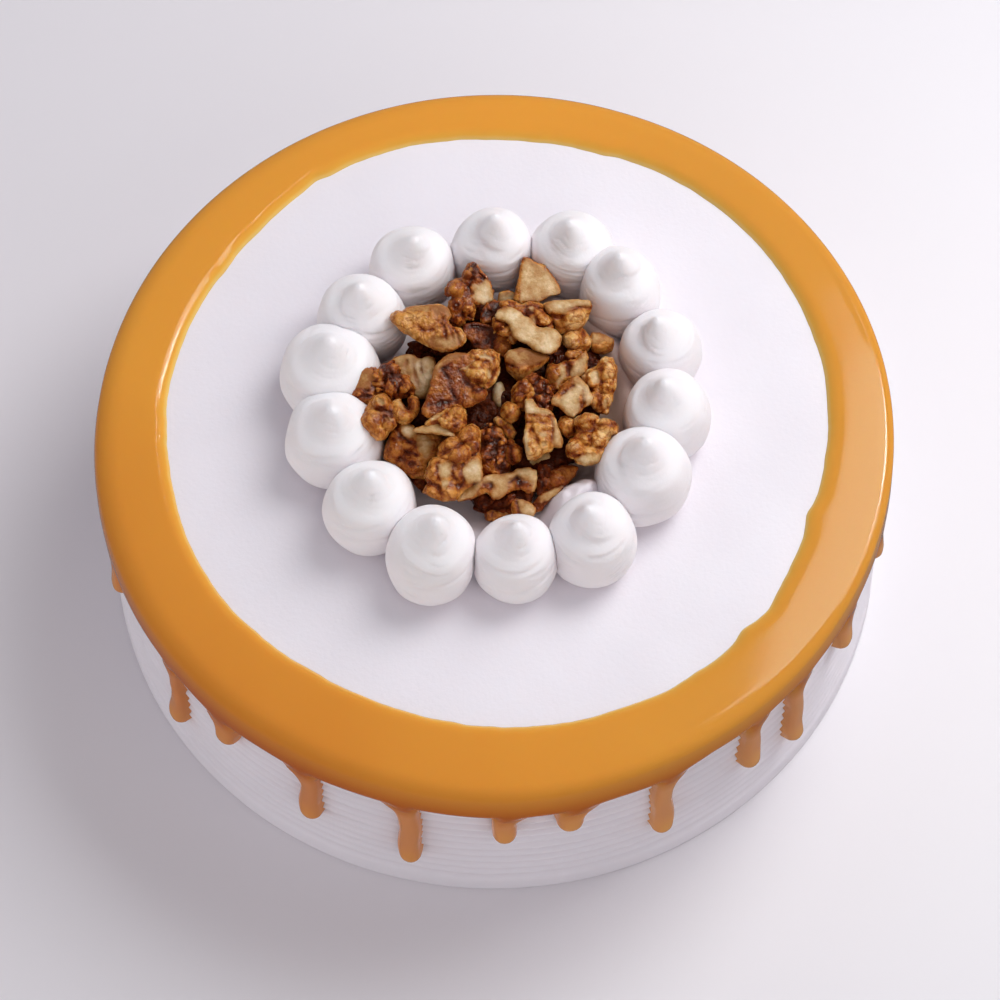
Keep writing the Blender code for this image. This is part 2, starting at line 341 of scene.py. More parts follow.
def creamMaterial(name, colour, poreScale, glow):
    material, tree, shader = newMaterial(
        name, Base_Color=(*colour, 1), Roughness=0.6, IOR=1.4,
        Subsurface_Weight=glow, Subsurface_Radius=(1.0, 0.85, 0.8), Subsurface_Scale=0.008 * glow)
    where = objectPlace(tree)
    tint = tuple(min(1, part * 1.025) for part in colour)
    shade = tuple(part * 0.975 for part in colour)
    tone = addRamp(tree, addNoise(tree, where, 22, 3), [(0.3, shade), (0.7, tint)])
    # painted shade in the comb's grooves, as deep as the hollow
    tone = addMix(tree, readLayer(tree, "hollow"), tone, cream["grooveShadeColour"])
    # painted shade and reflected walnut colour near the walnuts
    tone = addMix(tree, readLayer(tree, "paintedNutShade"), tone, cream["paintedNutShadeColour"])
    tree.links.new(tone, shader.inputs["Base Color"])
    rough = addRamp(tree, addNoise(tree, where, 60, 2), [(0.3, 0.55), (0.7, 0.68)])
    tree.links.new(rough, shader.inputs["Roughness"])
    addBump(tree, shader, addNoise(tree, where, poreScale, 4), 0.25, 0.00025)
    return material


def nearWalnuts(points):
    # painted shade and reflected walnut colour on the cream where it faces the walnuts, most on the right: 0
    # to 1
    x, y, z = points.T
    middleX, middleY = cream["heapMiddle"]
    near = np.clip((cream["heapReach"] - np.hypot(x - middleX, y - middleY)) / 6, 0, 1)
    near = near * np.clip(1.25 - (z - cream["top"]) / 13, 0, 1)
    return near * (0.22 + 0.68 * np.clip((x - 8) / 12, 0, 1) * np.clip((y + 18) / 8, 0, 1))


def combedRows(side):
    # rings of the combed wall from the foot up, and how deep in a hollow each point lies, which paints shade
    # into the grooves
    step = cream["pitch"] / cream["rowsPerRidge"]
    foot = [0.0, 0.25, 0.8, 1.6, 3.0, 4.6, 6.0]
    comb = np.arange(cream["lowestGroove"] - cream["pitch"] / 2, 54.0, step)
    heights = np.concatenate([foot, comb, [55.0, 56.0, 57.0, 58.0]])
    footRound = 0.9 * np.clip(1 - heights / 0.9, 0, 1) ** 2
    rows, hollows = [], []
    for height, inset in zip(heights, footRound):
        spot = np.stack([np.cos(side) * 7, np.sin(side) * 7, np.full_like(side, height * 0.9)], 1)
        wobble = 0.16 * softNoise(spot * 0.8, 3)
        nick = 0.10 * softNoise(np.stack([side * 26, side * 0 + height * 0.8, side * 0], 1), 5)
        wave = 0.25 * np.sin(side * 2 + 0.6) + 0.12 * np.sin(side * 5 + 2)
        cut = combCut(height + wave) * (1 + 0.25 * softNoise(spot * 0.6, 8))
        hollows.append(np.clip(cut / cream["depth"], 0, 1) ** 2 * 0.7)
        radius = crestRadius(height) - inset - cut + (wobble + nick) * (0.2 if height < 6 else 1) - 0.1
        rows.append(np.stack([radius * np.sin(side), -radius * np.cos(side), np.full_like(side, height)], 1))
    return rows, hollows


def topRows(side):
    # rings over the rim and inward to the middle
    rows = []
    for turn in np.radians([0, 15, 30, 45, 60, 75, 90]):
        radius = cream["topRadius"] - cream["rimRound"] * (1 - math.cos(turn)) - 0.15
        height = cream["top"] - cream["rimRound"] * (1 - math.sin(turn)) - 0.1
        rows.append(np.stack([radius * np.sin(side), -radius * np.cos(side), np.full_like(side, height)], 1))
    feet, smear = cream["feet"], cream["smear"]
    middleX, middleY = cream["heapMiddle"]
    radii = [np.arange(93, 50, -1.5), np.arange(50, 24, -0.8), np.arange(24, 2, -4), [0.5]]
    for radius in np.concatenate(radii):
        spot = np.stack([radius * np.sin(side), -radius * np.cos(side), side * 0], 1)
        height = cream["top"] - 0.1 + 0.12 * softNoise(spot * 0.035, 1) + 0.03 * softNoise(spot * 0.2, 2)
        reach = np.hypot(spot[:, 0] - middleX, spot[:, 1] - middleY)
        turn = np.arctan2(spot[:, 1] - middleY, spot[:, 0] - middleX)
        rise = feet["height"] + feet["swing"] * np.cos(turn - feet["highest"])
        height = height + rise * np.exp(-((reach - feet["radius"]) / feet["width"]) ** 2)
        away = ((spot[:, 0] - smear["middle"][0]) / smear["reach"][0]) ** 2
        away = away + ((spot[:, 1] - smear["middle"][1]) / smear["reach"][1]) ** 2
        height = height + smear["height"] * np.exp(-away ** 2) * (1 + 0.2 * softNoise(spot * 0.3, 4))
        rows.append(np.column_stack([spot[:, :2], height]))
    return rows


def makeCreamBody():
    count = cream["columns"]
    side = np.arange(count) / count * math.tau
    rows, hollows = combedRows(side)
    rows = rows + topRows(side)
    points = np.concatenate(rows)
    material = creamMaterial("whippedCream", cream["colour"], 900, 0.2)
    piece = makePiece("creamBody", points, closedFaces(len(rows), count), material, ["cake_body"])
    smooth = np.zeros(len(points) - len(hollows) * count)
    addLayer(piece, "hollow", np.concatenate(hollows + [smooth]))
    addLayer(piece, "paintedNutShade", nearWalnuts(points))
    print("cream body: %d rows" % len(rows))


# the caramel, a poured ring over the rim with drips: mm, and angles in degrees from the front
caramel = {
    "inner": 85.8, "thick": 1.9, "sideThick": 2.8, "frontThick": 1.5, "sunk": 1.6, "flare": 5.5,
    "tipBulge": 0.7, "lowest": 18.0, "lipWidth": 3.0, "lipEdge": 0.25,
    "edgeFill": 1.7,  # a drip fills the comb's hollows at its edge
    "edgeSunk": 0.7,  # and reaches this much deeper there
    # angle and height of the hem between drips
    "hem": [
        (-180, 50), (-130, 50), (-90, 49), (-60, 49.2), (-51, 49.6), (-45, 48.4), (-34, 49.6), (-24, 50),
        (-16, 50.4), (-6, 50.6), (8, 50.0), (17, 50.8), (25, 50.6), (31, 53), (47, 52.6), (60, 52), (90, 51),
        (130, 50), (180, 50),
    ],
    # angle and radius of the outer bend: tight on the right, wide on the left and at the back
    "corner": [
        (-180, 7.0), (-90, 7.0), (-50, 5.4), (-20, 4.2), (0, 3.7), (40, 3.1), (70, 2.6), (100, 2.6),
        (130, 4.5), (160, 6.5), (180, 7.0),
    ],
    # angle, spread and share of the extra thickness at the front
    "swells": [(1, 17, 1.0), (33, 18, 0.35)],
    # angle, spread and slope of the place on the back right where the sheet dips outward
    "lean": (118, 15, 0.015),
    "innerWaves": [
        (-1.4, 1.4), (0.4, 0.15), (0.1, 0.4), (-0.25, 0.65), (0.0, -0.1), (-0.1, 0.1), (0.3, -0.2),
    ],
    # angle, lowest point, half width at the foot, half width at the neck
    "drips": [
        (0.7, 36.6, 2.8, 2.5), (10.2, 39.6, 3.2, 3.2), (23.9, 21.2, 2.6, 2.3), (38.8, 29.3, 2.7, 2.2),
        (47.9, 20.4, 2.6, 2.2), (60.6, 36.6, 2.8, 2.6), (74.0, 43.0, 2.8, 2.6), (88.0, 42.0, 3.2, 3.0),
        (104.0, 30.0, 2.7, 2.2), (121.0, 40.0, 3.0, 2.8), (137.0, 24.0, 2.7, 2.0), (152.0, 37.0, 2.9, 2.6),
        (166.0, 20.0, 2.6, 2.1), (181.0, 34.0, 2.8, 2.3), (195.0, 42.0, 3.1, 3.0), (211.0, 25.0, 2.7, 2.0),
        (227.0, 38.0, 2.9, 2.6), (243.0, 22.0, 2.6, 2.1), (258.0, 35.0, 2.8, 2.4), (272.0, 43.0, 3.2, 3.0),
        (288.0, 37.0, 2.7, 2.3), (306.9, 20.9, 2.7, 1.5), (317.9, 38.4, 3.0, 2.6), (332.3, 25.4, 2.7, 2.2),
        (347.3, 19.4, 2.6, 2.4),
    ],
    # sections this far beside a drip's middle, and between drips this far apart
    "besideDrip": [0, 0.9, 1.5, 1.9, 2.15, 2.4, 2.65, 2.9, 3.2, 3.6, 4.2],
    "betweenDrips": 1.5,
    # angle, width and depth of small nicks in the inner edge
    "nicks": [
        (-148, 3.0, 0.9), (71, 3.5, -1.0), (52, 4.0, 0.8), (46, 3.0, -0.9), (-95, 5.0, 0.5), (160, 4.0, -0.5),
    ],
}


def innerEdge(angle):
    # radius of the wavering inner edge
    reach = caramel["inner"] + 0 * angle
    for order, (along, across) in enumerate(caramel["innerWaves"], 1):
        turn = np.radians(order * angle)
        reach = reach + along * np.cos(turn) + across * np.sin(turn)
    for spot, wide, deep in caramel["nicks"]:
        off = foldedAngle(angle - spot) * math.radians(caramel["inner"])
        reach = reach + deep * np.exp(-(off / wide) ** 2)
    return reach + 0.35 * roundNoise(angle, 9, 21) + 0.15 * roundNoise(angle, 27, 22)


def blendMost(first, second, width):
    # the larger of two, rounded where they are alike
    mix = np.clip(0.5 + 0.5 * (first - second) / width, 0, 1)
    return second + (first - second) * mix + width * mix * (1 - mix)


def hemHeight(angle):
    # height of the caramel's lower edge away from the drips
    where, height = np.array(caramel["hem"]).T
    return np.interp(foldedAngle(angle), where, height) + 0.35 * roundNoise(angle, 6, 31)


def hemInside(angle, height):
    # how far inside the caramel's lower outline a point of the side is, and how much it is a drip's bulb
    inside = height - hemHeight(angle)
    bulge = 0 * inside
    radius = float(crestRadius(35))
    for index, (spot, tip, foot, neck) in enumerate(caramel["drips"]):
        off = foldedAngle(angle - spot) * math.radians(radius)
        off = off - 0.25 * np.sin(height * 0.35 + index * 1.9)
        rise = height - tip
        half = foot + (neck - foot) * np.clip((rise - 2.2 * foot) / max((52 - tip) * 0.35, 2.0), 0, 1)
        half = np.where(rise < foot, foot, half)
        drop = half - np.sqrt(off ** 2 + np.maximum(foot - rise, 0) ** 2)
        # the side away from the front flows out wider
        outer = np.clip(0.5 + off * (1 if spot < 180 else -1) / 3, 0, 1)
        inside = blendMost(inside, drop, caramel["flare"] * (0.45 + 1.1 * outer))
        bulge = np.maximum(bulge, np.exp(-((rise - foot * 1.1) / (1.5 * foot)) ** 2 - (off / foot) ** 2))
    return inside, bulge


def rising(share):
    # a quarter round, from 0 to 1
    share = np.clip(share, 0, 1)
    return np.sqrt(share * (2 - share))


def caramelColumns():
    # angles of the sections, close together where a drip runs
    wide = math.degrees(1 / 103)
    near = np.array(caramel["besideDrip"]) * wide
    ends = [drip[0] for drip in caramel["drips"]]
    columns = []
    for here, after in zip(ends, ends[1:] + [ends[0] + 360]):
        start, stop = here + near[-1], after - near[-1]
        count = max(2, int((stop - start) / wide / caramel["betweenDrips"]))
        columns += [*(here + near), *np.linspace(start, stop, count + 1)[1:-1], *(after - near[::-1][:-1])]
    return np.array(columns)


def sheetRow(radius, height, outward, rise, depth, bulb=0, present=True):
    # one row of the poured sheet: its face and its hidden back, which is sunk into the cream
    lift, sunk = rise - caramel["sunk"], caramel["sunk"]
    if outward:
        radii, heights = (radius + lift, radius - sunk), (height, height)
    else:
        radii, heights = (radius, radius), (height + lift, height - sunk)
    return {"radii": radii, "heights": heights, "depth": depth, "bulb": bulb, "present": present}


def caramelTop(angles, wall, corner):
    # rows from the inner edge outward over the top
    lip = innerEdge(angles)
    side = np.radians(angles)
    spot, spread, slope = caramel["lean"]
    lean = slope * np.exp(-((foldedAngle(angles) - spot) / spread) ** 2)
    shares = [(offset, 0) for offset in (-0.5, -0.25, 0.0, 0.3, 0.7, 1.2, 1.9, 2.8, 4.0)]
    shares += [(4, share) for share in (0.17, 0.33, 0.5, 0.66, 0.83, 1.0)]
    rows = []
    for offset, share in shares:
        # first beside the edge, then in shares of the way to the bend
        out = lip + offset
        if share:
            out = out + (wall - corner - out) * share
        near = out - lip
        body = 1 - np.clip(1 - near / caramel["lipWidth"], 0, 1) ** 2
        rise = (caramel["sunk"] + caramel["lipEdge"]) * rising((near + 0.5) / 0.7)
        rise = rise + (caramel["thick"] - caramel["lipEdge"]) * body
        place = np.stack([out * np.sin(side), out * np.cos(side), angles * 0], 1)
        rise = rise + 0.025 * body * softNoise(place * 0.045, 41) - lean * np.maximum(near - 3, 0)
        rows.append(sheetRow(out, angles * 0 + cream["top"], False, rise, body))
    return rows


def caramelBend(angles, wall, corner):
    # rows round the outer bend, with the back on the cream's own round
    rim = cream["topRadius"] - cream["rimRound"]
    inner = cream["rimRound"] - caramel["sunk"]
    rows = []
    for turn in np.radians([10, 20, 30, 40, 50, 60, 70, 80, 90]):
        out = rim + inner * math.sin(turn) + angles * 0
        up = cream["top"] - cream["rimRound"] + inner * math.cos(turn) + angles * 0
        radii = wall - corner * (1 - math.sin(turn)), out
        heights = cream["top"] + caramel["thick"] - corner * (1 - math.cos(turn)), up
        rows.append({"radii": radii, "heights": heights, "depth": 1, "bulb": 0, "present": True})
    return rows


def caramelSide(angles, extra):
    # rows down the side, present only above the hem and in the drips
    sheet = caramel["thick"] + caramel["sunk"]
    deeper = caramel["edgeSunk"]
    rows = []
    for height in [*np.arange(58.0, 52.0, -1.0), *np.arange(52.0, caramel["lowest"], -0.55)]:
        inside, bulge = hemInside(angles, angles * 0 + height)
        onHem = np.clip((height - hemHeight(angles) + 1) / 2, 0, 1)
        full = sheet + extra * (0.6 + 0.4 * onHem) + caramel["tipBulge"] * bulge
        fill = caramel["edgeFill"] * (1 - onHem)
        rise = (fill + deeper) * rising((inside + 0.5) / 0.2)
        rise = rise + (full - fill) * rising((inside + 0.5) / (2.1 + 3.1 * onHem))
        out = np.maximum(crestRadius(height), cream["topRadius"]) - deeper
        rows.append(sheetRow(angles * 0 + out, angles * 0 + height, True, rise, np.clip(inside / 3.0, 0, 1),
                             bulge, inside > -1.3))
    return rows


def makeCaramel():
    angles = caramelColumns()
    folded = foldedAngle(angles)
    swell = sum(share * np.exp(-((folded - spot) / spread) ** 2) for spot, spread, share in caramel["swells"])
    extra = caramel["sideThick"] - caramel["thick"] + caramel["frontThick"] * swell
    corner = np.interp(folded, *np.array(caramel["corner"]).T)
    wall = cream["topRadius"] + caramel["thick"] + extra
    table = caramelTop(angles, wall, corner) + caramelBend(angles, wall, corner) + caramelSide(angles, extra)
    count, rows = len(angles), len(table)
    # points of the face, then of the back
    side = np.radians(angles)
    sheets = []
    for face in (0, 1):
        radii = np.stack([row["radii"][face] for row in table])
        heights = np.stack([row["heights"][face] for row in table])
        sheets.append(np.stack([radii * np.sin(side), -radii * np.cos(side), heights], -1).reshape(-1, 3))
    present = np.stack([np.broadcast_to(row["present"], count) for row in table]).reshape(-1)
    quads = gridFaces(rows, count)
    quads = quads[present[quads].any(1)]
    # a wall between the two sheets along every open edge
    ends = np.concatenate([quads[:, [0, 1]], quads[:, [1, 2]], quads[:, [2, 3]], quads[:, [3, 0]]])
    known = {(int(a), int(b)) for a, b in ends}
    border = np.array([(a, b) for a, b in known if (b, a) not in known])
    total = rows * count
    walls = np.stack([border[:, 1], border[:, 0], border[:, 0] + total, border[:, 1] + total], 1)
    faces = np.concatenate([quads, quads[:, ::-1] + total, walls])
    used = np.unique(faces)
    renumber = np.zeros(2 * total, int)
    renumber[used] = np.arange(len(used))
    piece = makePiece("caramelRing", np.concatenate(sheets)[used], renumber[faces][:, ::-1],
                      caramelMaterial(), ["caramel_glaze"])
    for name in ("depth", "bulb"):
        values = np.stack([np.broadcast_to(row[name], count) for row in table]).reshape(-1)
        addLayer(piece, name, np.concatenate([values] * 2)[used])
    print("caramel: %d faces" % len(faces))


def caramelMaterial():
    material, tree, shader = newMaterial(
        "caramel", Roughness=0.07, IOR=1.16, Specular_IOR_Level=0.66,
        Subsurface_Weight=0.2, Subsurface_Radius=(1.0, 0.5, 0.12), Subsurface_Scale=0.0025)
    depth = readLayer(tree, "depth")
    where = objectPlace(tree)
    axes = addNode(tree, "ShaderNodeSeparateXYZ", {0: where}).outputs
    top = addRamp(tree, depth, [
        (0.0, (0.86, 0.56, 0.16)), (0.4, (0.83, 0.42, 0.06)), (1.0, (0.80, 0.338, 0.046))])
    # the wall is darker than the top, partly thicker caramel and partly painted shade; a drip is lighter
    # again where it thins out, and a drip's bulb lighter still with a painted glow
    wall = addRamp(tree, depth, [(0.0, (0.60, 0.24, 0.05)), (1.0, (0.50, 0.125, 0.006))])
    wall = addMix(tree, addRange(tree, axes["Z"], 0.051, 0.046), wall, (0.70, 0.30, 0.11))
    wall = addMix(tree, readLayer(tree, "bulb"), wall, (0.76, 0.35, 0.10))
    both = addMix(tree, addRange(tree, axes["Z"], 0.054, 0.0645), wall, top)
    # darker toward the front left, away from the lamps: painted shade
    paintedShadeSlant = addNode(tree, "ShaderNodeVectorMath", {0: where, 1: (-0.68, -0.73, 0)}, operation="DOT_PRODUCT")
    drift = addSum(tree, paintedShadeSlant.outputs["Value"], [(addNoise(tree, where, 16, 2), 0.06)])
    deeper = addRamp(tree, drift, [(0.075, 1), (0.14, (0.87, 0.74, 0.72))])
    both = addMix(tree, 1.0, both, deeper, "MULTIPLY")
    # a little duller toward the lamp on the right
    duller = addMix(tree, 1.0, both, (0.90, 0.92, 1.0), "MULTIPLY")
    both = addMix(tree, addRange(tree, axes["X"], 0.01, 0.06), both, duller)
    tree.links.new(both, shader.inputs["Base Color"])
    addBump(tree, shader, addNoise(tree, where, 70, 2), 0.012, 0.001)
    return material


# the piped kisses in a ring: mm, and angles in degrees
kisses = {
    # centre x and y, radius, height, lean of the tip in x and y
    "spots": [
        (-20.6, 41.8, 11.5, 23.5, 0.6, 0.0), (0.0, 46.9, 11.0, 25.0, 1.4, 0.0),
        (21.2, 45.3, 11.3, 25.4, -0.5, 0.0), (33.4, 33.4, 10.9, 27.6, -0.8, 0.6),
        (43.4, 16.2, 10.8, 24.4, -1.1, 0.0), (44.2, -3.1, 11.6, 26.6, -0.7, 0.0),
        (37.4, -20.5, 12.3, 27.4, 0.3, 0.6), (24.6, -38.0, 11.5, 26.2, -0.8, 0.0),
        (5.2, -42.6, 10.9, 24.4, 0.4, 1.0), (-16.2, -41.9, 11.7, 27.8, 2.2, 1.0),
        (-31.3, -27.9, 11.8, 26.2, 0.7, 0.0), (-40.5, -8.4, 12.5, 25.8, 0.2, 0.0),
        (-41.7, 10.7, 13.1, 26.0, 0.4, 0.0), (-33.6, 26.7, 11.7, 25.4, 0.5, 0.0),
    ],
    # height and radius, as shares of the kiss's own
    "shape": [
        (0.0, 0.80), (0.05, 0.875), (0.10, 0.935), (0.18, 0.985), (0.26, 1.0), (0.34, 0.995), (0.42, 0.97),
        (0.49, 0.94), (0.56, 0.885), (0.61, 0.825), (0.65, 0.745), (0.68, 0.65), (0.705, 0.555),
        (0.735, 0.475),
        (0.78, 0.395), (0.83, 0.325), (0.87, 0.27), (0.91, 0.215), (0.95, 0.15), (0.98, 0.09), (1.0, 0.0),
    ],
    # kiss, angle and its spread, share of the height, slope, width and depth of a crease
    "creases": [
        (0, -120, 45, 0.52, 0.03, 0.02, 0.042), (1, -90, 45, 0.50, 0.03, 0.016, 0.042),
        (1, -70, 40, 0.36, -0.02, 0.02, 0.035), (2, -100, 45, 0.44, 0.02, 0.018, 0.042),
        (2, -80, 50, 0.58, -0.02, 0.014, 0.042), (3, -95, 45, 0.40, 0.04, 0.02, 0.039),
        (4, -110, 50, 0.45, 0.03, 0.016, 0.042), (5, -120, 50, 0.42, 0.02, 0.018, 0.042),
        (6, -95, 40, 0.36, 0.02, 0.02, 0.039), (7, -60, 35, 0.62, 0.0, 0.02, 0.042),
        (8, -90, 60, 0.63, 0.02, 0.016, 0.056), (8, -60, 50, 0.42, 0.03, 0.02, 0.042),
        (9, -80, 45, 0.45, 0.02, 0.02, 0.042), (9, -100, 30, 0.61, -0.03, 0.014, 0.049),
        (10, -112, 32, 0.56, 0.05, 0.013, 0.07), (10, -80, 40, 0.44, 0.02, 0.022, 0.042),
        (11, -115, 30, 0.60, 0.04, 0.014, 0.056), (11, -95, 40, 0.54, 0.0, 0.016, 0.042),
        (12, -130, 40, 0.50, 0.03, 0.02, 0.039), (13, -60, 40, 0.60, -0.04, 0.016, 0.049),
    ],
    "streaks": [(13, 0.038), (31, 0.020)],  # turns from foot to tip, and depth
    "collar": 0.075,  # the fold under the tip
    "lumps": 0.045,
    "overlap": 0.08,  # how far neighbours reach into each other
    "rows": 92, "sides": 84,
    "colour": (0.955, 0.905, 0.93),
}


def smoothCurve(knots, at):
    # a smooth curve through (place, value) knots
    x, y = np.array(knots).T
    slope = np.gradient(y, x)
    index = np.clip(np.searchsorted(x, at, side="right") - 1, 0, len(x) - 2)
    width = x[index + 1] - x[index]
    t = (at - x[index]) / width
    a, b = y[index], y[index + 1]
    c, d = slope[index] * width, slope[index + 1] * width
    return a + t * (c + t * (3 * (b - a) - 2 * c - d + t * (2 * (a - b) + c + d)))


def pressFlat(points, own):
    # flattens a kiss where its neighbours press on it
    x, y, radius = kisses["spots"][own][:3]
    for step in (-1, 1):
        nextX, nextY, nextRadius = kisses["spots"][(own + step) % len(kisses["spots"])][:3]
        along = np.array([nextX - x, nextY - y])
        apart = np.linalg.norm(along)
        along = along / apart
        split = (apart ** 2 + radius ** 2 - nextRadius ** 2) / (2 * apart) + kisses["overlap"]
        over = np.maximum((points[:, :2] - (x, y)) @ along - split, 0)
        points[:, :2] -= over[:, None] * along
    return points


def kissGrooves(own, share, angle, start):
    # the streaks left by the nozzle, and the kiss's own creases
    around = np.stack([np.cos(angle), np.sin(angle), share * 3 + own * 9], -1).reshape(-1, 3)
    patch = np.clip(0.35 + 1.3 * softNoise(around * 1.6, 51).reshape(share.shape), 0, 1)
    drift = 0.9 * softNoise(around * (0.9, 0.9, 1.6), 52).reshape(share.shape)
    groove = share * 0
    for turns, deep in kisses["streaks"]:
        wrap = share * turns + angle / math.tau + start + drift * turns / 13
        groove = groove + deep * np.clip(1 - (wrap % 1) * 2.2, 0, 1) ** 1.5 * patch
    groove = groove * np.clip((1 - share) * 5, 0, 1)
    for which, middle, wide, place, slope, thin, deep in kisses["creases"]:
        if which == own:
            off = foldedAngle(np.degrees(angle) - middle)
            gap = share - place - slope * off / wide
            groove = groove + deep * np.exp(-(gap / thin) ** 2 - (off / wide) ** 4)
    return groove


def makeKiss(own, material):
    x, y, radius, height, leanX, leanY = kisses["spots"][own]
    rows, sides = kisses["rows"], kisses["sides"]
    upward = np.linspace(0, 1, rows) ** 0.9
    share, angle = np.meshgrid(upward, np.arange(sides) / sides * math.tau, indexing="ij")
    size = np.maximum(smoothCurve(kisses["shape"], share.ravel()).reshape(share.shape), 0)
    phase = np.random.default_rng(100 + own).uniform(0, math.tau, 6)
    size = size * (1 + 0.018 * np.cos(2 * angle + phase[0]) + 0.012 * np.cos(3 * angle + phase[1]))
    groove = kissGrooves(own, share, angle, phase[2])
    # the last turn of the nozzle folds over the one below
    fold = (share * 2.2 + angle / math.tau + phase[3]) % 1
    fold = np.clip(fold / 0.12, 0, 1) * (1 - fold)
    collar = kisses["collar"] * fold * np.exp(-((share - 0.74) / 0.11) ** 2)
    size = size - groove * np.minimum(size * 3, 1) + (collar - 0.012) * np.minimum(size * 2.5, 1)
    size = np.maximum(size, 0) * radius
    curl = np.clip((share - 0.7) / 0.3, 0, 1) ** 2
    middleX = x + leanX * share ** 2 + 0.5 * curl * np.cos(phase[4])
    middleY = y + leanY * share ** 2 + 0.5 * curl * np.sin(phase[4])
    place = [middleX + size * np.cos(angle), middleY + size * np.sin(angle), cream["top"] + share * height]
    points = np.stack(place, -1).reshape(-1, 3)
    lump = kisses["lumps"] * softNoise(points * 0.11 + own * 5, 61)
    points[:, :2] += (points[:, :2] - (x, y)) * lump[:, None]
    points = pressFlat(points, own)
    points[:sides, 2] -= 0.3
    piece = makePiece("pipedKiss_%02d" % (own + 1), points, closedFaces(rows, sides), material,
                      ["kiss_%02d" % (own + 1)])
    # painted shade and reflected walnut colour where the kiss faces the walnuts
    addLayer(piece, "paintedNutShade", 0.8 * nearWalnuts(points))


def makeKisses():
    material = creamMaterial("pipedCream", kisses["colour"], 1100, 0.5)
    for own in range(len(kisses["spots"])):
        makeKiss(own, material)
    print("kisses: %d" % len(kisses["spots"]))


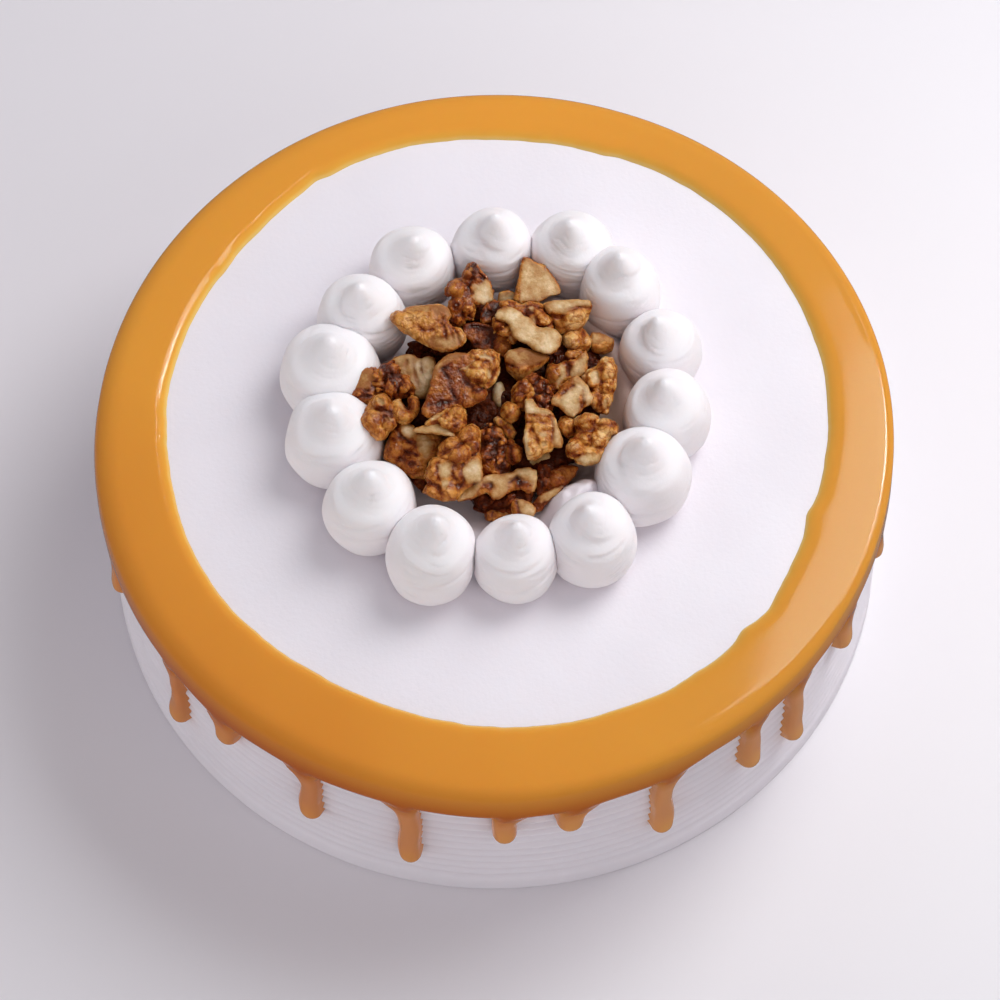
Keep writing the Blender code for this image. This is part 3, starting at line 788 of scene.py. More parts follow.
# the walnuts: broken halves and crumbs, each drawn as the camera sees it and then given depth: mm
walnuts = {
    # the drawing lies on the cream at this spot; across and up are mm on it, as seen from the camera
    "spot": (-2.8, 12.41, 64.0), "across": (0.9999, -0.0124, -0.0063), "up": (0.014, 0.8909, 0.4539),
    "grain": 0.30,  # distance between mesh points
    "keptFaces": 0.5,  # share of the faces that stay
    "spread": 0.30,  # how far every piece reaches past its drawn outline
    "grooves": [(4.4, 1.1), (2.0, 0.5)],  # size and depth of the skin's grooves
    "groups": 4,
    "shadeTone": 0.165,  # darker pieces than this are painted dark for the shade they lie in under the others
    # height of the middle over the cream, thickness, roundness of the edge, depth of the grooves, tone of the
    # skin (0 dark, 1 pale; below shadeTone its dark is painted shade), slope of the face, fall of the skin
    # beside the flesh, shift of the flesh's colour (painted shade on cupPale), the outline, the patches of
    # pale flesh, the creases, and the lobes (middle, radius, height)
    "pieces": [
        {"name": "tallPale", "height": 11.8, "thick": 6, "edge": 0.5, "crinkle": 0.12, "tone": 0.6,
         "slope": (-0.15, -0.35), "fall": 0.35,
         "outline": [(11, 32.2), (12.5, 31.7), (13.5, 30.8), (16.2, 30.1), (19.4, 25.6), (20.3, 23.7),
             (20, 22.9), (17.2, 22.3), (14.6, 20.8), (12.5, 21), (10.1, 20.5), (8.4, 21.6), (9.1, 23.9),
             (10.6, 31.9)],
         "pale": [[(11.4, 32.1), (17.5, 28.5), (20.6, 23.7), (20.1, 22.6), (17.2, 22), (14.6, 20.8),
             (10, 21.1), (10.1, 25.9), (10.6, 30.2)]]},
        {"name": "backDark", "height": 15.2, "thick": 6.5, "edge": 1.4, "crinkle": 0.8, "tone": 0.5,
         "slope": (-0.1, -0.2),
         "outline": [(-3.1, 30.4), (-1.9, 30.6), (-1.4, 29.5), (0.7, 27.1), (2.4, 24.7), (2.9, 21.1),
             (0.5, 20.1), (-1.9, 20.6), (-3.8, 19.6), (-7.4, 22.5), (-9.1, 22.8), (-9.1, 24.2), (-8.4, 25.4),
             (-6.9, 26.1), (-4.8, 26.6), (-4.8, 27.3)],
         "pale": [[(-2.6, 25.4), (-0.5, 25.1), (1, 26.7), (1.7, 26), (2.9, 23.5), (2.9, 21.1), (0.5, 20),
             (-1.7, 21)], [(-3.6, 29.2), (-2.9, 29.8), (-2.4, 29.3), (-2.8, 28.7), (-3.4, 28.6)]],
         "creases": [[(-4.1, 27.3), (0, 25.6)], [(-1.9, 30.2), (-1.7, 28.3), (0, 26.6)]],
         "lobes": [(-6.7, 24.2, 2.3, 1.6), (-3.1, 28.3, 1.9, 1.2)]},
        {"name": "groovedLobe", "height": 14.4, "thick": 5, "edge": 2, "crinkle": 0.5, "tone": 0.7,
         "slope": (-0.05, -0.1),
         "outline": [(-4.8, 24.7), (-1.9, 22.8), (-1.7, 18.7), (-2.4, 16.3), (-4.3, 16.5), (-4.7, 15.3),
             (-6, 14.5), (-7.7, 15.1), (-8.4, 16.3), (-8.5, 18.7), (-8.3, 20.6), (-7.4, 22.5), (-6.2, 23.9)],
         "creases": [[(-4.8, 21.6), (-5, 18.7), (-4.8, 16.3)], [(-7.7, 17.2), (-4.8, 17)], [(-6.9, 18.7),
             (-4.6, 22), (-1.9, 22.8)], [(-3.6, 20.6), (-3.4, 17.2)]],
         "lobes": [(-6.7, 20.1, 2.2, 1.4), (-3.4, 19.2, 1.8, 1.2), (-6.2, 16, 1.5, 1.2)]},
        {"name": "bigShell", "height": 17.2, "thick": 7, "edge": 1.3, "crinkle": 0.1, "tone": 0.76,
         "slope": (0.02, -0.25), "fall": 0.12, "fleshToneAndShade": -0.5,
         "outline": [(-23.6, 16.8), (-23.2, 17.7), (-22.3, 18.2), (-20.6, 18.1), (-19.4, 18.9), (-17.7, 19.4),
             (-11.5, 19.9), (-10.1, 19.6), (-8.9, 18.7), (-8.1, 17.2), (-9.1, 15.8), (-7.7, 14.1),
             (-5.7, 13.7), (-4.3, 12), (-4.3, 10.5), (-5.5, 9.3), (-7.7, 8.1), (-10.1, 8), (-12.5, 8.6),
             (-17, 11), (-18.7, 12.2), (-20.1, 12.7), (-23, 15.6)],
         "pale": [[(-18.9, 18.6), (-17.7, 19.5), (-13.4, 19.9), (-10.1, 19.7), (-8.6, 18.7), (-8, 17.1),
             (-9.3, 16.9), (-10.3, 18.2), (-11.5, 16.7), (-13.1, 18.7), (-14.4, 18), (-16.3, 18.6),
             (-17.6, 17.9)], [(-20, 12.5), (-19.6, 13.5), (-17.6, 12.1), (-18.1, 11.7)], [(-14.8, 10.5),
             (-12.5, 12), (-9.6, 11.5), (-6.7, 12.9), (-4.8, 11.5), (-5.7, 9.6), (-8.6, 8.6), (-12.5, 9)]],
         "creases": [[(-17.3, 14.2), (-14.9, 13.3), (-12.5, 13.4)], [(-12, 16.6), (-9.8, 14.6), (-9.2, 11.2)],
             [(-10.2, 16.4), (-8.2, 13.9), (-7.5, 10.6)], [(-7.6, 14), (-6.2, 12.4), (-5.8, 10)]],
         "lobes": [(-21.1, 16, 2.6, 1.3), (-15.5, 15.8, 5.2, 1), (-8.6, 12, 4.4, 0.9),
             (-11, 18.9, 2.4, 0.4)]},
        {"name": "flatBrown", "height": 13.2, "thick": 5, "edge": 0.8, "crinkle": 0.12, "tone": 0.38,
         "slope": (0.05, -0.3),
         "outline": [(-5, 12.5), (-4.3, 14.8), (-1.9, 15.2), (0.5, 14.8), (2.4, 14.1), (4.3, 13.9),
             (7.4, 10.5), (7.2, 8.1), (5.3, 6.9), (0.5, 8.4), (-1.9, 9.3), (-2.9, 10.8)],
         "creases": [[(-4.6, 14), (-1.9, 14.4), (2.4, 13.7)], [(-1.9, 9.6), (0.5, 9.2), (2.4, 11.5)],
             [(2.9, 13.9), (2.6, 7.7)]],
         "lobes": [(5.3, 9.6, 2.4, 1)]},
        {"name": "smallDark", "height": 13.8, "thick": 4.5, "edge": 1.2, "crinkle": 1, "tone": 0.48,
         "slope": (-0.1, -0.2), "fleshToneAndShade": 1.5,
         "outline": [(0, 17.7), (1.2, 20.6), (2.9, 20.8), (5.3, 20.4), (5.7, 18.7), (4.1, 17.7), (2.9, 14.8),
             (0.5, 15.3)],
         "pale": [[(-1.2, 20.1), (0.2, 19.6), (0, 18.7), (-1.2, 18.9)]],
         "creases": [[(0.5, 17.2), (2.4, 18), (3.8, 18.1)]]},
        {"name": "paleStrip", "height": 17.8, "thick": 6, "edge": 1.1, "crinkle": 0.08, "tone": 0.5,
         "slope": (-0.12, -0.4),
         "outline": [(3.6, 17.2), (4.3, 18.4), (5.7, 19.4), (7.4, 19.2), (9.8, 18), (10.8, 16.8),
             (12.2, 16.3), (14.6, 13.7), (17.2, 13.9), (19.2, 13.2), (20.5, 11.7), (20.1, 9.6), (19.2, 8.1),
             (17.7, 7.4), (15.8, 7.6), (13.7, 8.4), (12, 9.8), (8.1, 11.7), (7.7, 13.7), (6.5, 15.6),
             (4.1, 16.3)],
         "pale": [[(2.9, 17.2), (4.3, 18.9), (7.7, 19.6), (12.5, 16.5), (14.6, 14.1), (17.2, 14.4),
             (19.6, 13.4), (21.1, 11.5), (20.1, 9.1), (17.7, 7.1), (14.4, 7.7), (7.7, 12), (7.2, 14.4)]]},
        {"name": "crinklyTop", "height": 16.4, "thick": 5.5, "edge": 1.4, "crinkle": 0.9, "tone": 0.64,
         "slope": (-0.15, -0.3), "fleshToneAndShade": 0.7,
         "outline": [(5, 20.1), (6.7, 20.8), (8.6, 20.5), (10.1, 19.2), (12.5, 20.3), (13.9, 20.1),
             (15.3, 19.6), (18.4, 15.3), (18.4, 13.9), (16.3, 14.1), (14.6, 13.7), (12.2, 16.3),
             (10.1, 17.7)],
         "pale": [[(12, 19.2), (12.9, 19.6), (13.7, 19.1), (13.2, 18.4), (12.2, 18.5)], [(12.5, 16.5),
             (13.4, 17), (14.1, 16.3), (13.9, 15.1), (12.8, 15.6)]],
         "creases": [[(10.3, 17.7), (11.7, 18.3), (13.9, 18.2)], [(13.9, 16.3), (14.8, 14.8), (16, 14.4)],
             [(11, 17.5), (12, 16.5)]],
         "lobes": [(12.9, 18.7, 1.8, 1), (16, 16.3, 2.2, 1.2)]},
        {"name": "crinklyLow", "height": 17.2, "thick": 4.5, "edge": 1.2, "crinkle": 1, "tone": 0.76,
         "slope": (-0.1, -0.15), "fleshToneAndShade": 0.6,
         "outline": [(3.4, 16.2), (5.3, 16.1), (6.7, 15.3), (8.4, 12), (9.1, 11), (8.4, 10.1), (7.7, 10.5),
             (6.7, 11.7), (3.6, 12.9), (3.3, 14.8)],
         "pale": [[(6.9, 11.9), (7.7, 11.5), (7.9, 10.3), (7.3, 10.8)]],
         "creases": [[(4.3, 16), (5.5, 16.2), (6.3, 15.1)], [(3.6, 13.4), (5.3, 13.8), (6.7, 12.5),
             (7.3, 11.3)]],
         "lobes": [(4.6, 14.6, 1.4, 1)]},
        {"name": "halfBowl", "height": 14.6, "thick": 6.5, "edge": 1.2, "crinkle": 0.12, "tone": 0.84,
         "slope": (-0.1, -0.15), "fall": 0.55,
         "outline": [(16, 19.9), (17.7, 20.7), (24.4, 21.1), (28, 20.8), (28.4, 19.6), (27.3, 16.3),
             (26.3, 14.8), (24.4, 13.4), (22, 13.4), (20.6, 12.5), (19.6, 12.9), (18.2, 16.8)],
         "pale": [[(15.8, 19.6), (17.7, 21.1), (21.6, 21.3), (28.5, 21.1), (28.5, 19.5), (24.9, 19.6),
             (21.1, 17.6), (17, 18.7)]],
         "creases": [[(18.2, 17.2), (19.4, 16.7), (21.3, 17.4)], [(22.8, 18.6), (24.9, 19.3), (28, 19.2)]],
         "lobes": [(23.9, 16.3, 3.4, 1.6)]},
        {"name": "roundGold", "height": 10.6, "thick": 6, "edge": 2.6, "crinkle": 0.15, "tone": 0.83,
         "slope": (-0.1, -0.2),
         "outline": [(20.6, 11.5), (21.1, 12.5), (22, 13.2), (24.4, 13.7), (25.9, 13.7), (28, 11.3),
             (28, 9.1), (26.8, 7.9), (24.4, 7.9), (22.5, 8.6), (21.1, 9.8)],
         "creases": [[(26.3, 12.9), (26.1, 10.5), (26.8, 8.1)]],
         "lobes": [(23.7, 11, 3, 1.8), (27.2, 10.2, 1.6, 1.4)]},
        {"name": "rightGold", "height": 8.4, "thick": 5, "edge": 1.6, "crinkle": 0.1, "tone": 0.7,
         "slope": (-0.1, -0.2), "fall": 0.5, "fleshToneAndShade": -0.5,
         "outline": [(28, 11), (28.7, 12.5), (30.4, 12.5), (33.8, 11), (34.1, 9.8), (33.5, 8.1), (31.6, 7.4),
             (29.2, 7.7), (28.3, 9.1)],
         "pale": [[(28, 10.8), (28.7, 12.7), (30.7, 12.7), (34, 11.3), (33.5, 10.3), (31.6, 10.5),
             (30.2, 9.6), (28.7, 9.8)]],
         "lobes": [(31.1, 9.8, 2.9, 1.4)]},
        {"name": "backOchre", "height": 9.2, "thick": 4.5, "edge": 1, "crinkle": 0.2, "tone": 0.7,
         "slope": (0, 0),
         "outline": [(4.1, 20.6), (4.6, 22.9), (6.7, 23.5), (8.6, 22.9), (9.3, 21.6), (7.9, 19.9),
             (5.3, 19.9)],
         "pale": [[(4.1, 20.6), (4.6, 23.2), (9.1, 23.2), (9.3, 21.6), (7.7, 19.6), (5.3, 19.6)]]},
        # this piece's flesh is painted darker for the shade on its cut face
        {"name": "cupPale", "height": 14.2, "thick": 7, "edge": 1.2, "crinkle": 0.1, "tone": 0.78,
         "slope": (-0.05, -0.05), "fall": 0.75, "fleshToneAndShade": -0.8,
         "outline": [(6, 6.7), (7.2, 8), (10.1, 8.6), (12.5, 8.1), (17.2, 6.5), (17, 5.7), (15.3, 4.1),
             (12.9, 2.6), (11, 0.7), (9.6, 0.2), (6.7, 2.9)],
         "pale": [[(5.8, 6.5), (7.2, 8.3), (10.1, 8.9), (12.5, 8.4), (17.4, 6.6), (16.5, 5.7), (14.4, 4.7),
             (12.5, 4.2), (9.6, 4), (7.2, 4.7)]],
         "creases": [[(6.1, 4.6), (9.6, 3.8), (12.5, 3.9), (15.8, 5.3)]],
         "lobes": [(10.1, 2.4, 2.6, 1.6)]},
        {"name": "spikedBrown", "height": 11.6, "thick": 6.5, "edge": 1.1, "crinkle": 0.4, "tone": 0.7,
         "slope": (-0.1, -0.1), "fall": 0.2, "fleshToneAndShade": 0.4,
         "outline": [(17.2, 4.1), (18.2, 4.6), (19.6, 4.3), (22, 5.3), (24.4, 5.5), (25.4, 6.7), (26.8, 7.7),
             (27.2, 6.2), (26.6, 2.4), (21.1, -0.7), (19.9, -2.6), (18, -2.4), (17.2, -1), (16.8, 1.4)],
         "pale": [[(20.2, 4.1), (20.8, 5), (21.7, 3.6), (21.9, 1.9), (19.3, -1.7), (19.5, 0.5), (20.3, 1.9)],
             [(24.7, 5.7), (26.9, 7.9), (27.3, 6.1), (26.5, 2.1), (23.4, 1.1), (22.7, 1.9), (23.2, 3.7)]],
         "creases": [[(18, -1), (19.6, -2.4)], [(21.9, 4.8), (22.8, 3.8), (22.5, 1.9)], [(21.6, 5.2),
             (23.5, 5.2), (24.7, 5.7)]],
         "lobes": [(18.7, 2.4, 2.3, 1.4), (23.2, 4.8, 1.7, 0.8)]},
        {"name": "smallGold", "height": 11.4, "thick": 4, "edge": 1.2, "crinkle": 0.5, "tone": 0.58,
         "slope": (0, -0.2),
         "outline": [(21.6, 6.7), (22.3, 7.9), (23.9, 8.1), (25.6, 7.9), (26.3, 7.2), (25.1, 5.7), (22.8, 5),
             (21.8, 5.7)],
         "creases": [[(22, 5.4), (24.4, 5.7)]]},
        {"name": "rightLobes", "height": 12.2, "thick": 8, "edge": 2, "crinkle": 0.6, "tone": 0.86,
         "slope": (-0.1, -0.2), "fleshToneAndShade": 0.8,
         "outline": [(29.9, 3.8), (31.1, 5.5), (32.1, 6.1), (33.5, 5.7), (34.5, 4.3), (34.8, 2.4),
             (34.2, -2.2), (32.3, -8.1), (30.7, -7.9), (29.2, -6.7), (28, -4.8), (28.3, -2.2), (26.8, -0.5),
             (26.3, 1.4), (27.8, 2.9), (29.2, 3.3)],
         "pale": [[(27.9, 1.9), (29, 3), (30.2, 2.4), (30.6, 1), (30.2, -0.6), (29, -0.5), (28.3, 0.5)],
             [(31.4, 5.5), (32.2, 6.1), (32.8, 5.5), (32.1, 4.8)], [(31.5, -4.6), (32.2, -4.3), (32.6, -5.7),
             (32.1, -7.4), (31.5, -6.7)]],
         "creases": [[(30.4, 3.4), (31.1, 1), (30.7, -1.2), (28.3, -1.7)], [(30.7, -2.4), (30.2, -4.8),
             (31.1, -7.4)], [(31.4, -1.9), (34, -2.4)], [(28.3, -2.4), (30.4, -1.9)]],
         "lobes": [(32.3, 3.1, 2.8, 2), (29, 1, 2.4, 2), (29.2, -4.3, 2, 1.6), (32.6, -1, 2, 1.4),
             (31.9, -5.3, 1.8, 1.5)]},
        {"name": "paleFace", "height": 15.2, "thick": 6, "edge": 0.9, "crinkle": 0.14, "tone": 0.6,
         "slope": (-0.1, -0.2), "fall": 0.35, "fleshToneAndShade": 0.3,
         "outline": [(18, -4.8), (18.7, -3.8), (19.9, -2.9), (20.6, -1.2), (23.5, 1), (24.7, 1.4), (27.1, -1),
             (28.5, -3.8), (28.3, -5.5), (25.9, -6.7), (25.4, -7.9), (24.4, -8.1), (23.7, -9.1), (22.5, -8.6),
             (20.1, -6.2), (18.4, -5.7)],
         "pale": [[(23.5, 0.7), (24.8, 1.7), (27.3, -1), (28, -2.9), (27.8, -4.3), (26.3, -5.3), (25.9, -2.9),
             (25, -4.3), (25.6, -6.2), (25, -7.9), (23.7, -9.5), (22.3, -8.9), (20.1, -6.3), (18.2, -5.8),
             (17.8, -4.8), (18.8, -3.7), (20.1, -4.7), (22, -2.4), (23.9, -1.2), (24, 0)], [(26.6, -2.9),
             (28, -2.9), (28.7, -4.1), (28.4, -5.5), (27.3, -6.1), (26.7, -4.8)]],
         "creases": [[(26.1, -2.4), (26.3, -4.8), (25.6, -6.7)], [(20.4, -3.4), (23.9, -0.9)]],
         "lobes": [(27.5, -4.3, 1.4, 1.4), (23.2, -5.3, 2.9, 0.8)]},
        {"name": "darkCluster", "height": 14.4, "thick": 6.5, "edge": 1.3, "crinkle": 1.15, "tone": 0.45,
         "slope": (-0.05, -0.15),
         "outline": [(11.7, 1), (13.2, 1.9), (14.4, 1.7), (14.8, 0.7), (16.8, 0), (17.7, -1.7), (18.2, -3.4),
             (18.2, -5.7), (17.7, -7.2), (16, -7.4), (14.4, -6.7), (13.7, -4.8), (12, -4.3), (12.5, -2.4)],
         "creases": [[(14.4, 0), (13.9, -2.4), (14.8, -4.8)], [(16, -0.5), (16.5, -2.9), (15.3, -5.7)]],
         "lobes": [(13.2, 0.2, 1.4, 1), (16, -6.2, 1.7, 1), (16.8, -2.4, 1.5, 1)]},
        {"name": "darkClusterLobe", "height": 14.6, "thick": 6.5, "edge": 2, "crinkle": 0.6, "tone": 0.72,
         "slope": (-0.05, -0.1),
         "outline": [(8.1, -2.6), (8.6, -1.2), (9.8, 0.2), (11.5, 1.1), (12.9, 0), (13.7, -1.9), (13.5, -3.8),
             (12.9, -4.7), (11.5, -4.8), (11.3, -7.2), (10.1, -6.9), (8.6, -6.2), (7.9, -4.8)],
         "creases": [[(10.1, 0), (12.5, -4.3)], [(8.4, -2.9), (10.1, -2.9), (11.7, -4.7)]],
         "lobes": [(10.8, -1.2, 2.2, 1.5), (9.6, -3.6, 1.7, 1.3)]},
        {"name": "roundLobe", "height": 15.2, "thick": 5, "edge": 2.2, "crinkle": 0.2, "tone": 0.76,
         "slope": (-0.1, -0.15),
         "outline": [(5.3, -6.2), (6.5, -5.3), (7.9, -5.5), (9.3, -6.7), (9.9, -8.1), (9.1, -9.8),
             (7.7, -10.5), (6.2, -9.8), (5, -8.6)],
         "creases": [[(6.2, -9.1), (7.2, -7.7), (6.7, -6.2)]],
         "lobes": [(7.7, -7.7, 2.3, 1.4)]},
        {"name": "paleLens", "height": 9.2, "thick": 4.5, "edge": 1.6, "crinkle": 0.1, "tone": 0.85,
         "slope": (0, -0.1), "fleshToneAndShade": 0.8,
         "outline": [(2.9, -3.6), (3.1, -2.2), (3.8, -0.5), (4.8, -0.2), (5.7, -1.4), (6, -3.6), (5.7, -5.3),
             (4.8, -6.7), (3.8, -6.2), (3.1, -5)],
         "pale": [[(2.4, -3.6), (3.6, 0), (5, 0.2), (6.3, -1.7), (6.3, -5.3), (4.8, -7.3), (3.6, -6.9)]]},
        {"name": "hero", "height": 18.6, "thick": 9, "edge": 1, "crinkle": 0.09, "tone": 0.44,
         "slope": (-0.06, -0.22), "fall": 0.1, "fleshToneAndShade": -0.9,
         "outline": [(-15.3, -6.7), (-14.6, -5.5), (-13.2, -1.7), (-12.5, 2.6), (-11.7, 4.3), (-10.3, 5.7),
             (-8.6, 6.9), (-6.7, 7.3), (-4.6, 7.2), (-2.4, 6.7), (-1, 3.8), (-1.9, 1), (-1, -1.2), (1, -2.2),
             (1.2, -3.1), (0.5, -4.6), (-1.4, -5.3), (-2.6, -6.2), (-4.3, -6.5), (-5.7, -5.7), (-6.9, -6),
             (-10.5, -7.9), (-13.9, -9.1), (-15.3, -8.1)],
         "pale": [[(-12.9, 1.9), (-12, 4.6), (-8.6, 7.3), (-6.5, 7.7), (-4.3, 7.3), (-5.7, 6.1), (-10, 4.5),
             (-12, 0.9), (-12.8, 0.5)]],
         "creases": [[(-10.9, 3.4), (-8.6, 3.8), (-6.2, 2.9)], [(-10.5, 3.3), (-8.8, 1), (-8.2, -2.4),
             (-6.7, -5)], [(-6.1, 2.8), (-4.7, 0.5), (-2.8, -1.5)], [(-2.4, -2.2), (-1, -2.4), (0.2, -1.7)],
             [(-13.9, -6.2), (-10.5, -5.3), (-7.2, -5)]],
         "lobes": [(-0.9, -2.9, 2, 1.6), (-3.8, -4.3, 2.4, 0.8)]},
        {"name": "heroLobes", "height": 19.4, "thick": 8, "edge": 1.6, "crinkle": 0.55, "tone": 0.82,
         "slope": (-0.12, -0.3), "fleshToneAndShade": 0.7,
         "outline": [(-6.7, 3.3), (-6.3, 4.2), (-4.8, 5.4), (-3.8, 6.7), (-2.2, 8), (2.9, 8), (4.1, 7.2),
             (4.3, 3.1), (3.8, 1.4), (3.1, 0), (1.4, -1.4), (-1.9, -0.2)],
         "pale": [[(-6.4, 3.6), (-4.3, 5.4), (-1.8, 6.7), (-1.6, 5.9), (-2.9, 4.8), (-3.6, 3.4), (-5.7, 3.2)],
             [(-0.7, 6.7), (1, 7.2), (2.6, 6.5), (2.9, 4.8), (1, 6.2), (-0.2, 6.1)], [(1.2, 3.8), (2.2, 2.9),
             (2.4, 1.4), (1.7, 1)]],
         "creases": [[(-6.7, 3.4), (-1.9, 5.8), (1, 5.5), (2.6, 4.1)], [(-2.4, 7.9), (-1.8, 5.8)], [(-3.4, 1),
             (-1, -0.4), (1, -0.5)], [(2.9, 6.7), (3.4, 3.8), (2.6, 1)]],
         "lobes": [(-1, 2.4, 3.4, 2.2), (-1.9, 7.2, 1.9, 1.2), (1.2, 6.5, 2.2, 1.4), (3.1, 4.1, 1.7, 1.6),
             (-4.8, 4.1, 1.6, 1)]},
        {"name": "paleFan", "height": 11, "thick": 6.5, "edge": 0.8, "crinkle": 0.14, "tone": 0.62,
         "slope": (-0.05, -0.15), "fall": 0.3,
         "outline": [(-23, 5.5), (-22.3, 6.2), (-20.1, 6.8), (-18.7, 6.9), (-17.5, 6.6), (-16.8, 5.9),
             (-15.6, 5.7), (-14.8, 6.1), (-13.7, 6.3), (-12.5, 5.9), (-12.1, 5), (-12.7, 1.9), (-13.2, -0.2),
             (-14.6, -4.1), (-16.3, -4.3), (-17.5, -3.4), (-17.7, -1.9), (-18.7, -0.2), (-19.2, 1.2),
             (-20.6, 1.7), (-21.3, 2.4), (-21.8, 3.8)],
         "pale": [[(-23.5, 5.5), (-21.1, 6.8), (-18.7, 7.3), (-16.8, 6.2), (-14.8, 6.5), (-12, 6.1),
             (-11.9, 4.8), (-12.5, 1.4), (-14.4, -4.6), (-16.5, -4.8), (-19.2, 0.9), (-21.1, 1.3),
             (-22, 3.8)]],
         "creases": [[(-19.4, 5.5), (-19.9, 3.8), (-19.4, 1.9)], [(-17.7, 5.7), (-17.6, 2.9), (-16.5, -1)],
             [(-15.8, 4.8), (-15.6, 1.9)]],
         "lobes": [(-18.7, 4.8, 2.6, 1), (-14.1, 4.3, 2.2, 1.2)]},
        {"name": "leftDark", "height": 13.6, "thick": 7, "edge": 2, "crinkle": 0.9, "tone": 0.62,
         "slope": (0, -0.15),
         "outline": [(-28.3, 2.4), (-26.8, 3), (-25.9, 4.1), (-24.7, 4.8), (-23, 5.4), (-22, 4.3),
             (-21.1, 1.7), (-19.2, 1.2), (-17.6, -1.9), (-17.7, -2.9), (-20.1, -3.8), (-21.3, -4.1),
             (-22, -3.8), (-23, -4.8), (-25.9, -3.1), (-27.3, -2.9), (-28.7, -1.9)],
         "creases": [[(-25.6, 3.8), (-24.7, 1.4), (-25.1, -1.4)], [(-21.6, 1.9), (-21.9, -1), (-21.6, -3.8)],
             [(-23.9, 2.9), (-22.8, 0)]],
         "lobes": [(-24.2, 2.4, 2.3, 1.4), (-23.5, -1.4, 2.1, 1.4), (-19.6, -1.2, 1.9, 1.3)]},
        {"name": "leftCut", "height": 13.4, "thick": 7, "edge": 1.8, "crinkle": 0.45, "tone": 0.6,
         "slope": (0.05, -0.2), "fall": 0.35, "fleshToneAndShade": -0.7,
         "outline": [(-34.2, -1.9), (-34.4, -0.2), (-34, 1), (-33.1, 2.4), (-31.6, 3.4), (-29.5, 3.8),
             (-27.5, 3.4), (-25.6, 1.2), (-26.3, -2.9), (-27.3, -3.1), (-29.7, -6.9), (-31.1, -6.2),
             (-33.1, -4.8)],
         "pale": [[(-33.9, -0.6), (-33.1, 1.8), (-31.6, 3), (-29.6, 3.4), (-28.2, 2.8), (-28.5, 1.8),
             (-27.7, 0.9), (-28.6, -0.1), (-28.9, -1.2), (-29.7, -2), (-30.8, -1.5), (-33.8, -1.7)]],
         "creases": [[(-34.1, -2.2), (-32.1, -1.5), (-30.2, -2.4), (-25.9, -1.4)], [(-28.5, -0.2),
             (-27.3, -1), (-25.6, -1.2)], [(-32.6, -4.3), (-31.1, -3.6), (-28.7, -3.6)]],
         "lobes": [(-27.1, 1.3, 1.6, 1.2), (-31.4, -3.8, 2.3, 1.4), (-29.2, -4.3, 1.7, 1)]},
        {"name": "leftLobes", "height": 15.6, "thick": 7, "edge": 2.2, "crinkle": 0.25, "tone": 0.68,
         "slope": (0.05, -0.25), "fleshToneAndShade": 0.8,
         "outline": [(-31.6, -9.6), (-28, -4.1), (-26.8, -3.4), (-25.6, -3.1), (-24.7, -3.8), (-23.9, -4.8),
             (-22.9, -6.7), (-22, -9.1), (-22.3, -11.3), (-24.2, -12.9), (-24.9, -14.4), (-25.9, -14.9),
             (-27.1, -14.9), (-29.9, -12.5), (-31.1, -11.3)],
         "pale": [[(-27.2, -4.8), (-26.6, -4.1), (-25.6, -4.6), (-25.3, -5.7), (-25.9, -6.3), (-26.8, -5.8)],
             [(-25.2, -9.3), (-24.2, -9.1), (-22.9, -9.8), (-23.5, -10.3), (-24.7, -10.2)]],
         "creases": [[(-27.5, -6.6), (-23.9, -7.7)], [(-25.1, -9), (-23.9, -10.1), (-22.3, -10.8)],
             [(-23.9, -5.3), (-23.5, -9.1)]],
         "lobes": [(-28.7, -10.1, 3, 1.8), (-26.1, -5.3, 2.2, 1.8), (-26.6, -13.7, 1.9, 1.4),
             (-23.9, -11, 1.9, 1.2)]},
        {"name": "leftLobesRight", "height": 15.2, "thick": 6.5, "edge": 2, "crinkle": 0.25, "tone": 0.66,
         "slope": (-0.02, -0.25),
         "outline": [(-23.7, -6.2), (-22.9, -5.2), (-22, -4.8), (-21.2, -4.8), (-19.9, -6.9), (-18.9, -7.1),
             (-18.6, -5.8), (-18.9, -4.6), (-18.2, -3.8), (-17, -4.1), (-16.3, -5.3), (-16.4, -6.9),
             (-17, -8.6), (-18.4, -10.3), (-19.9, -10.8), (-21.3, -10.5), (-22.9, -9.8), (-23.6, -8.1)],
         "pale": [[(-21.8, -5), (-21.1, -4.9), (-19.6, -7.3), (-20, -7.6), (-21.1, -6.7)]],
         "creases": [[(-20.2, -5.5), (-19.9, -6.7), (-18.9, -7.2)], [(-18.9, -4.6), (-18.4, -5.8),
             (-18.7, -6.9)]],
         "lobes": [(-21.3, -8.1, 2.4, 1.6), (-17.5, -6, 1.7, 1.6), (-18.9, -8.9, 1.7, 1)]},
        {"name": "thinFlake", "height": 17.6, "thick": 4.5, "edge": 0.6, "crinkle": 0.14, "tone": 0.62,
         "slope": (0.02, -0.35), "fleshToneAndShade": 0.3,
         "outline": [(-17.7, -12.5), (-13.2, -10.9), (-11.5, -11.1), (-10.1, -11.7), (-7.1, -14),
             (-14.4, -13), (-16.5, -13)],
         "pale": [[(-18.2, -12.5), (-12.5, -10.5), (-8.4, -12.5), (-6.8, -14.3), (-14.4, -13.2),
             (-17.2, -13.4)]]},
        {"name": "flakeSkin", "height": 18.4, "thick": 5.5, "edge": 1.4, "crinkle": 0.45, "tone": 0.82,
         "slope": (-0.1, -0.25), "fleshToneAndShade": 0.9,
         "outline": [(-14.4, -10.9), (-12.9, -9.3), (-11.5, -8.5), (-10.1, -8.1), (-9.1, -7.2), (-7.9, -6.9),
             (-6.7, -5.8), (-5.5, -6.1), (-4.6, -7.2), (-4.1, -10.5), (-5, -12.5), (-7.2, -13.8),
             (-10.1, -11.5), (-11.5, -10.9)],
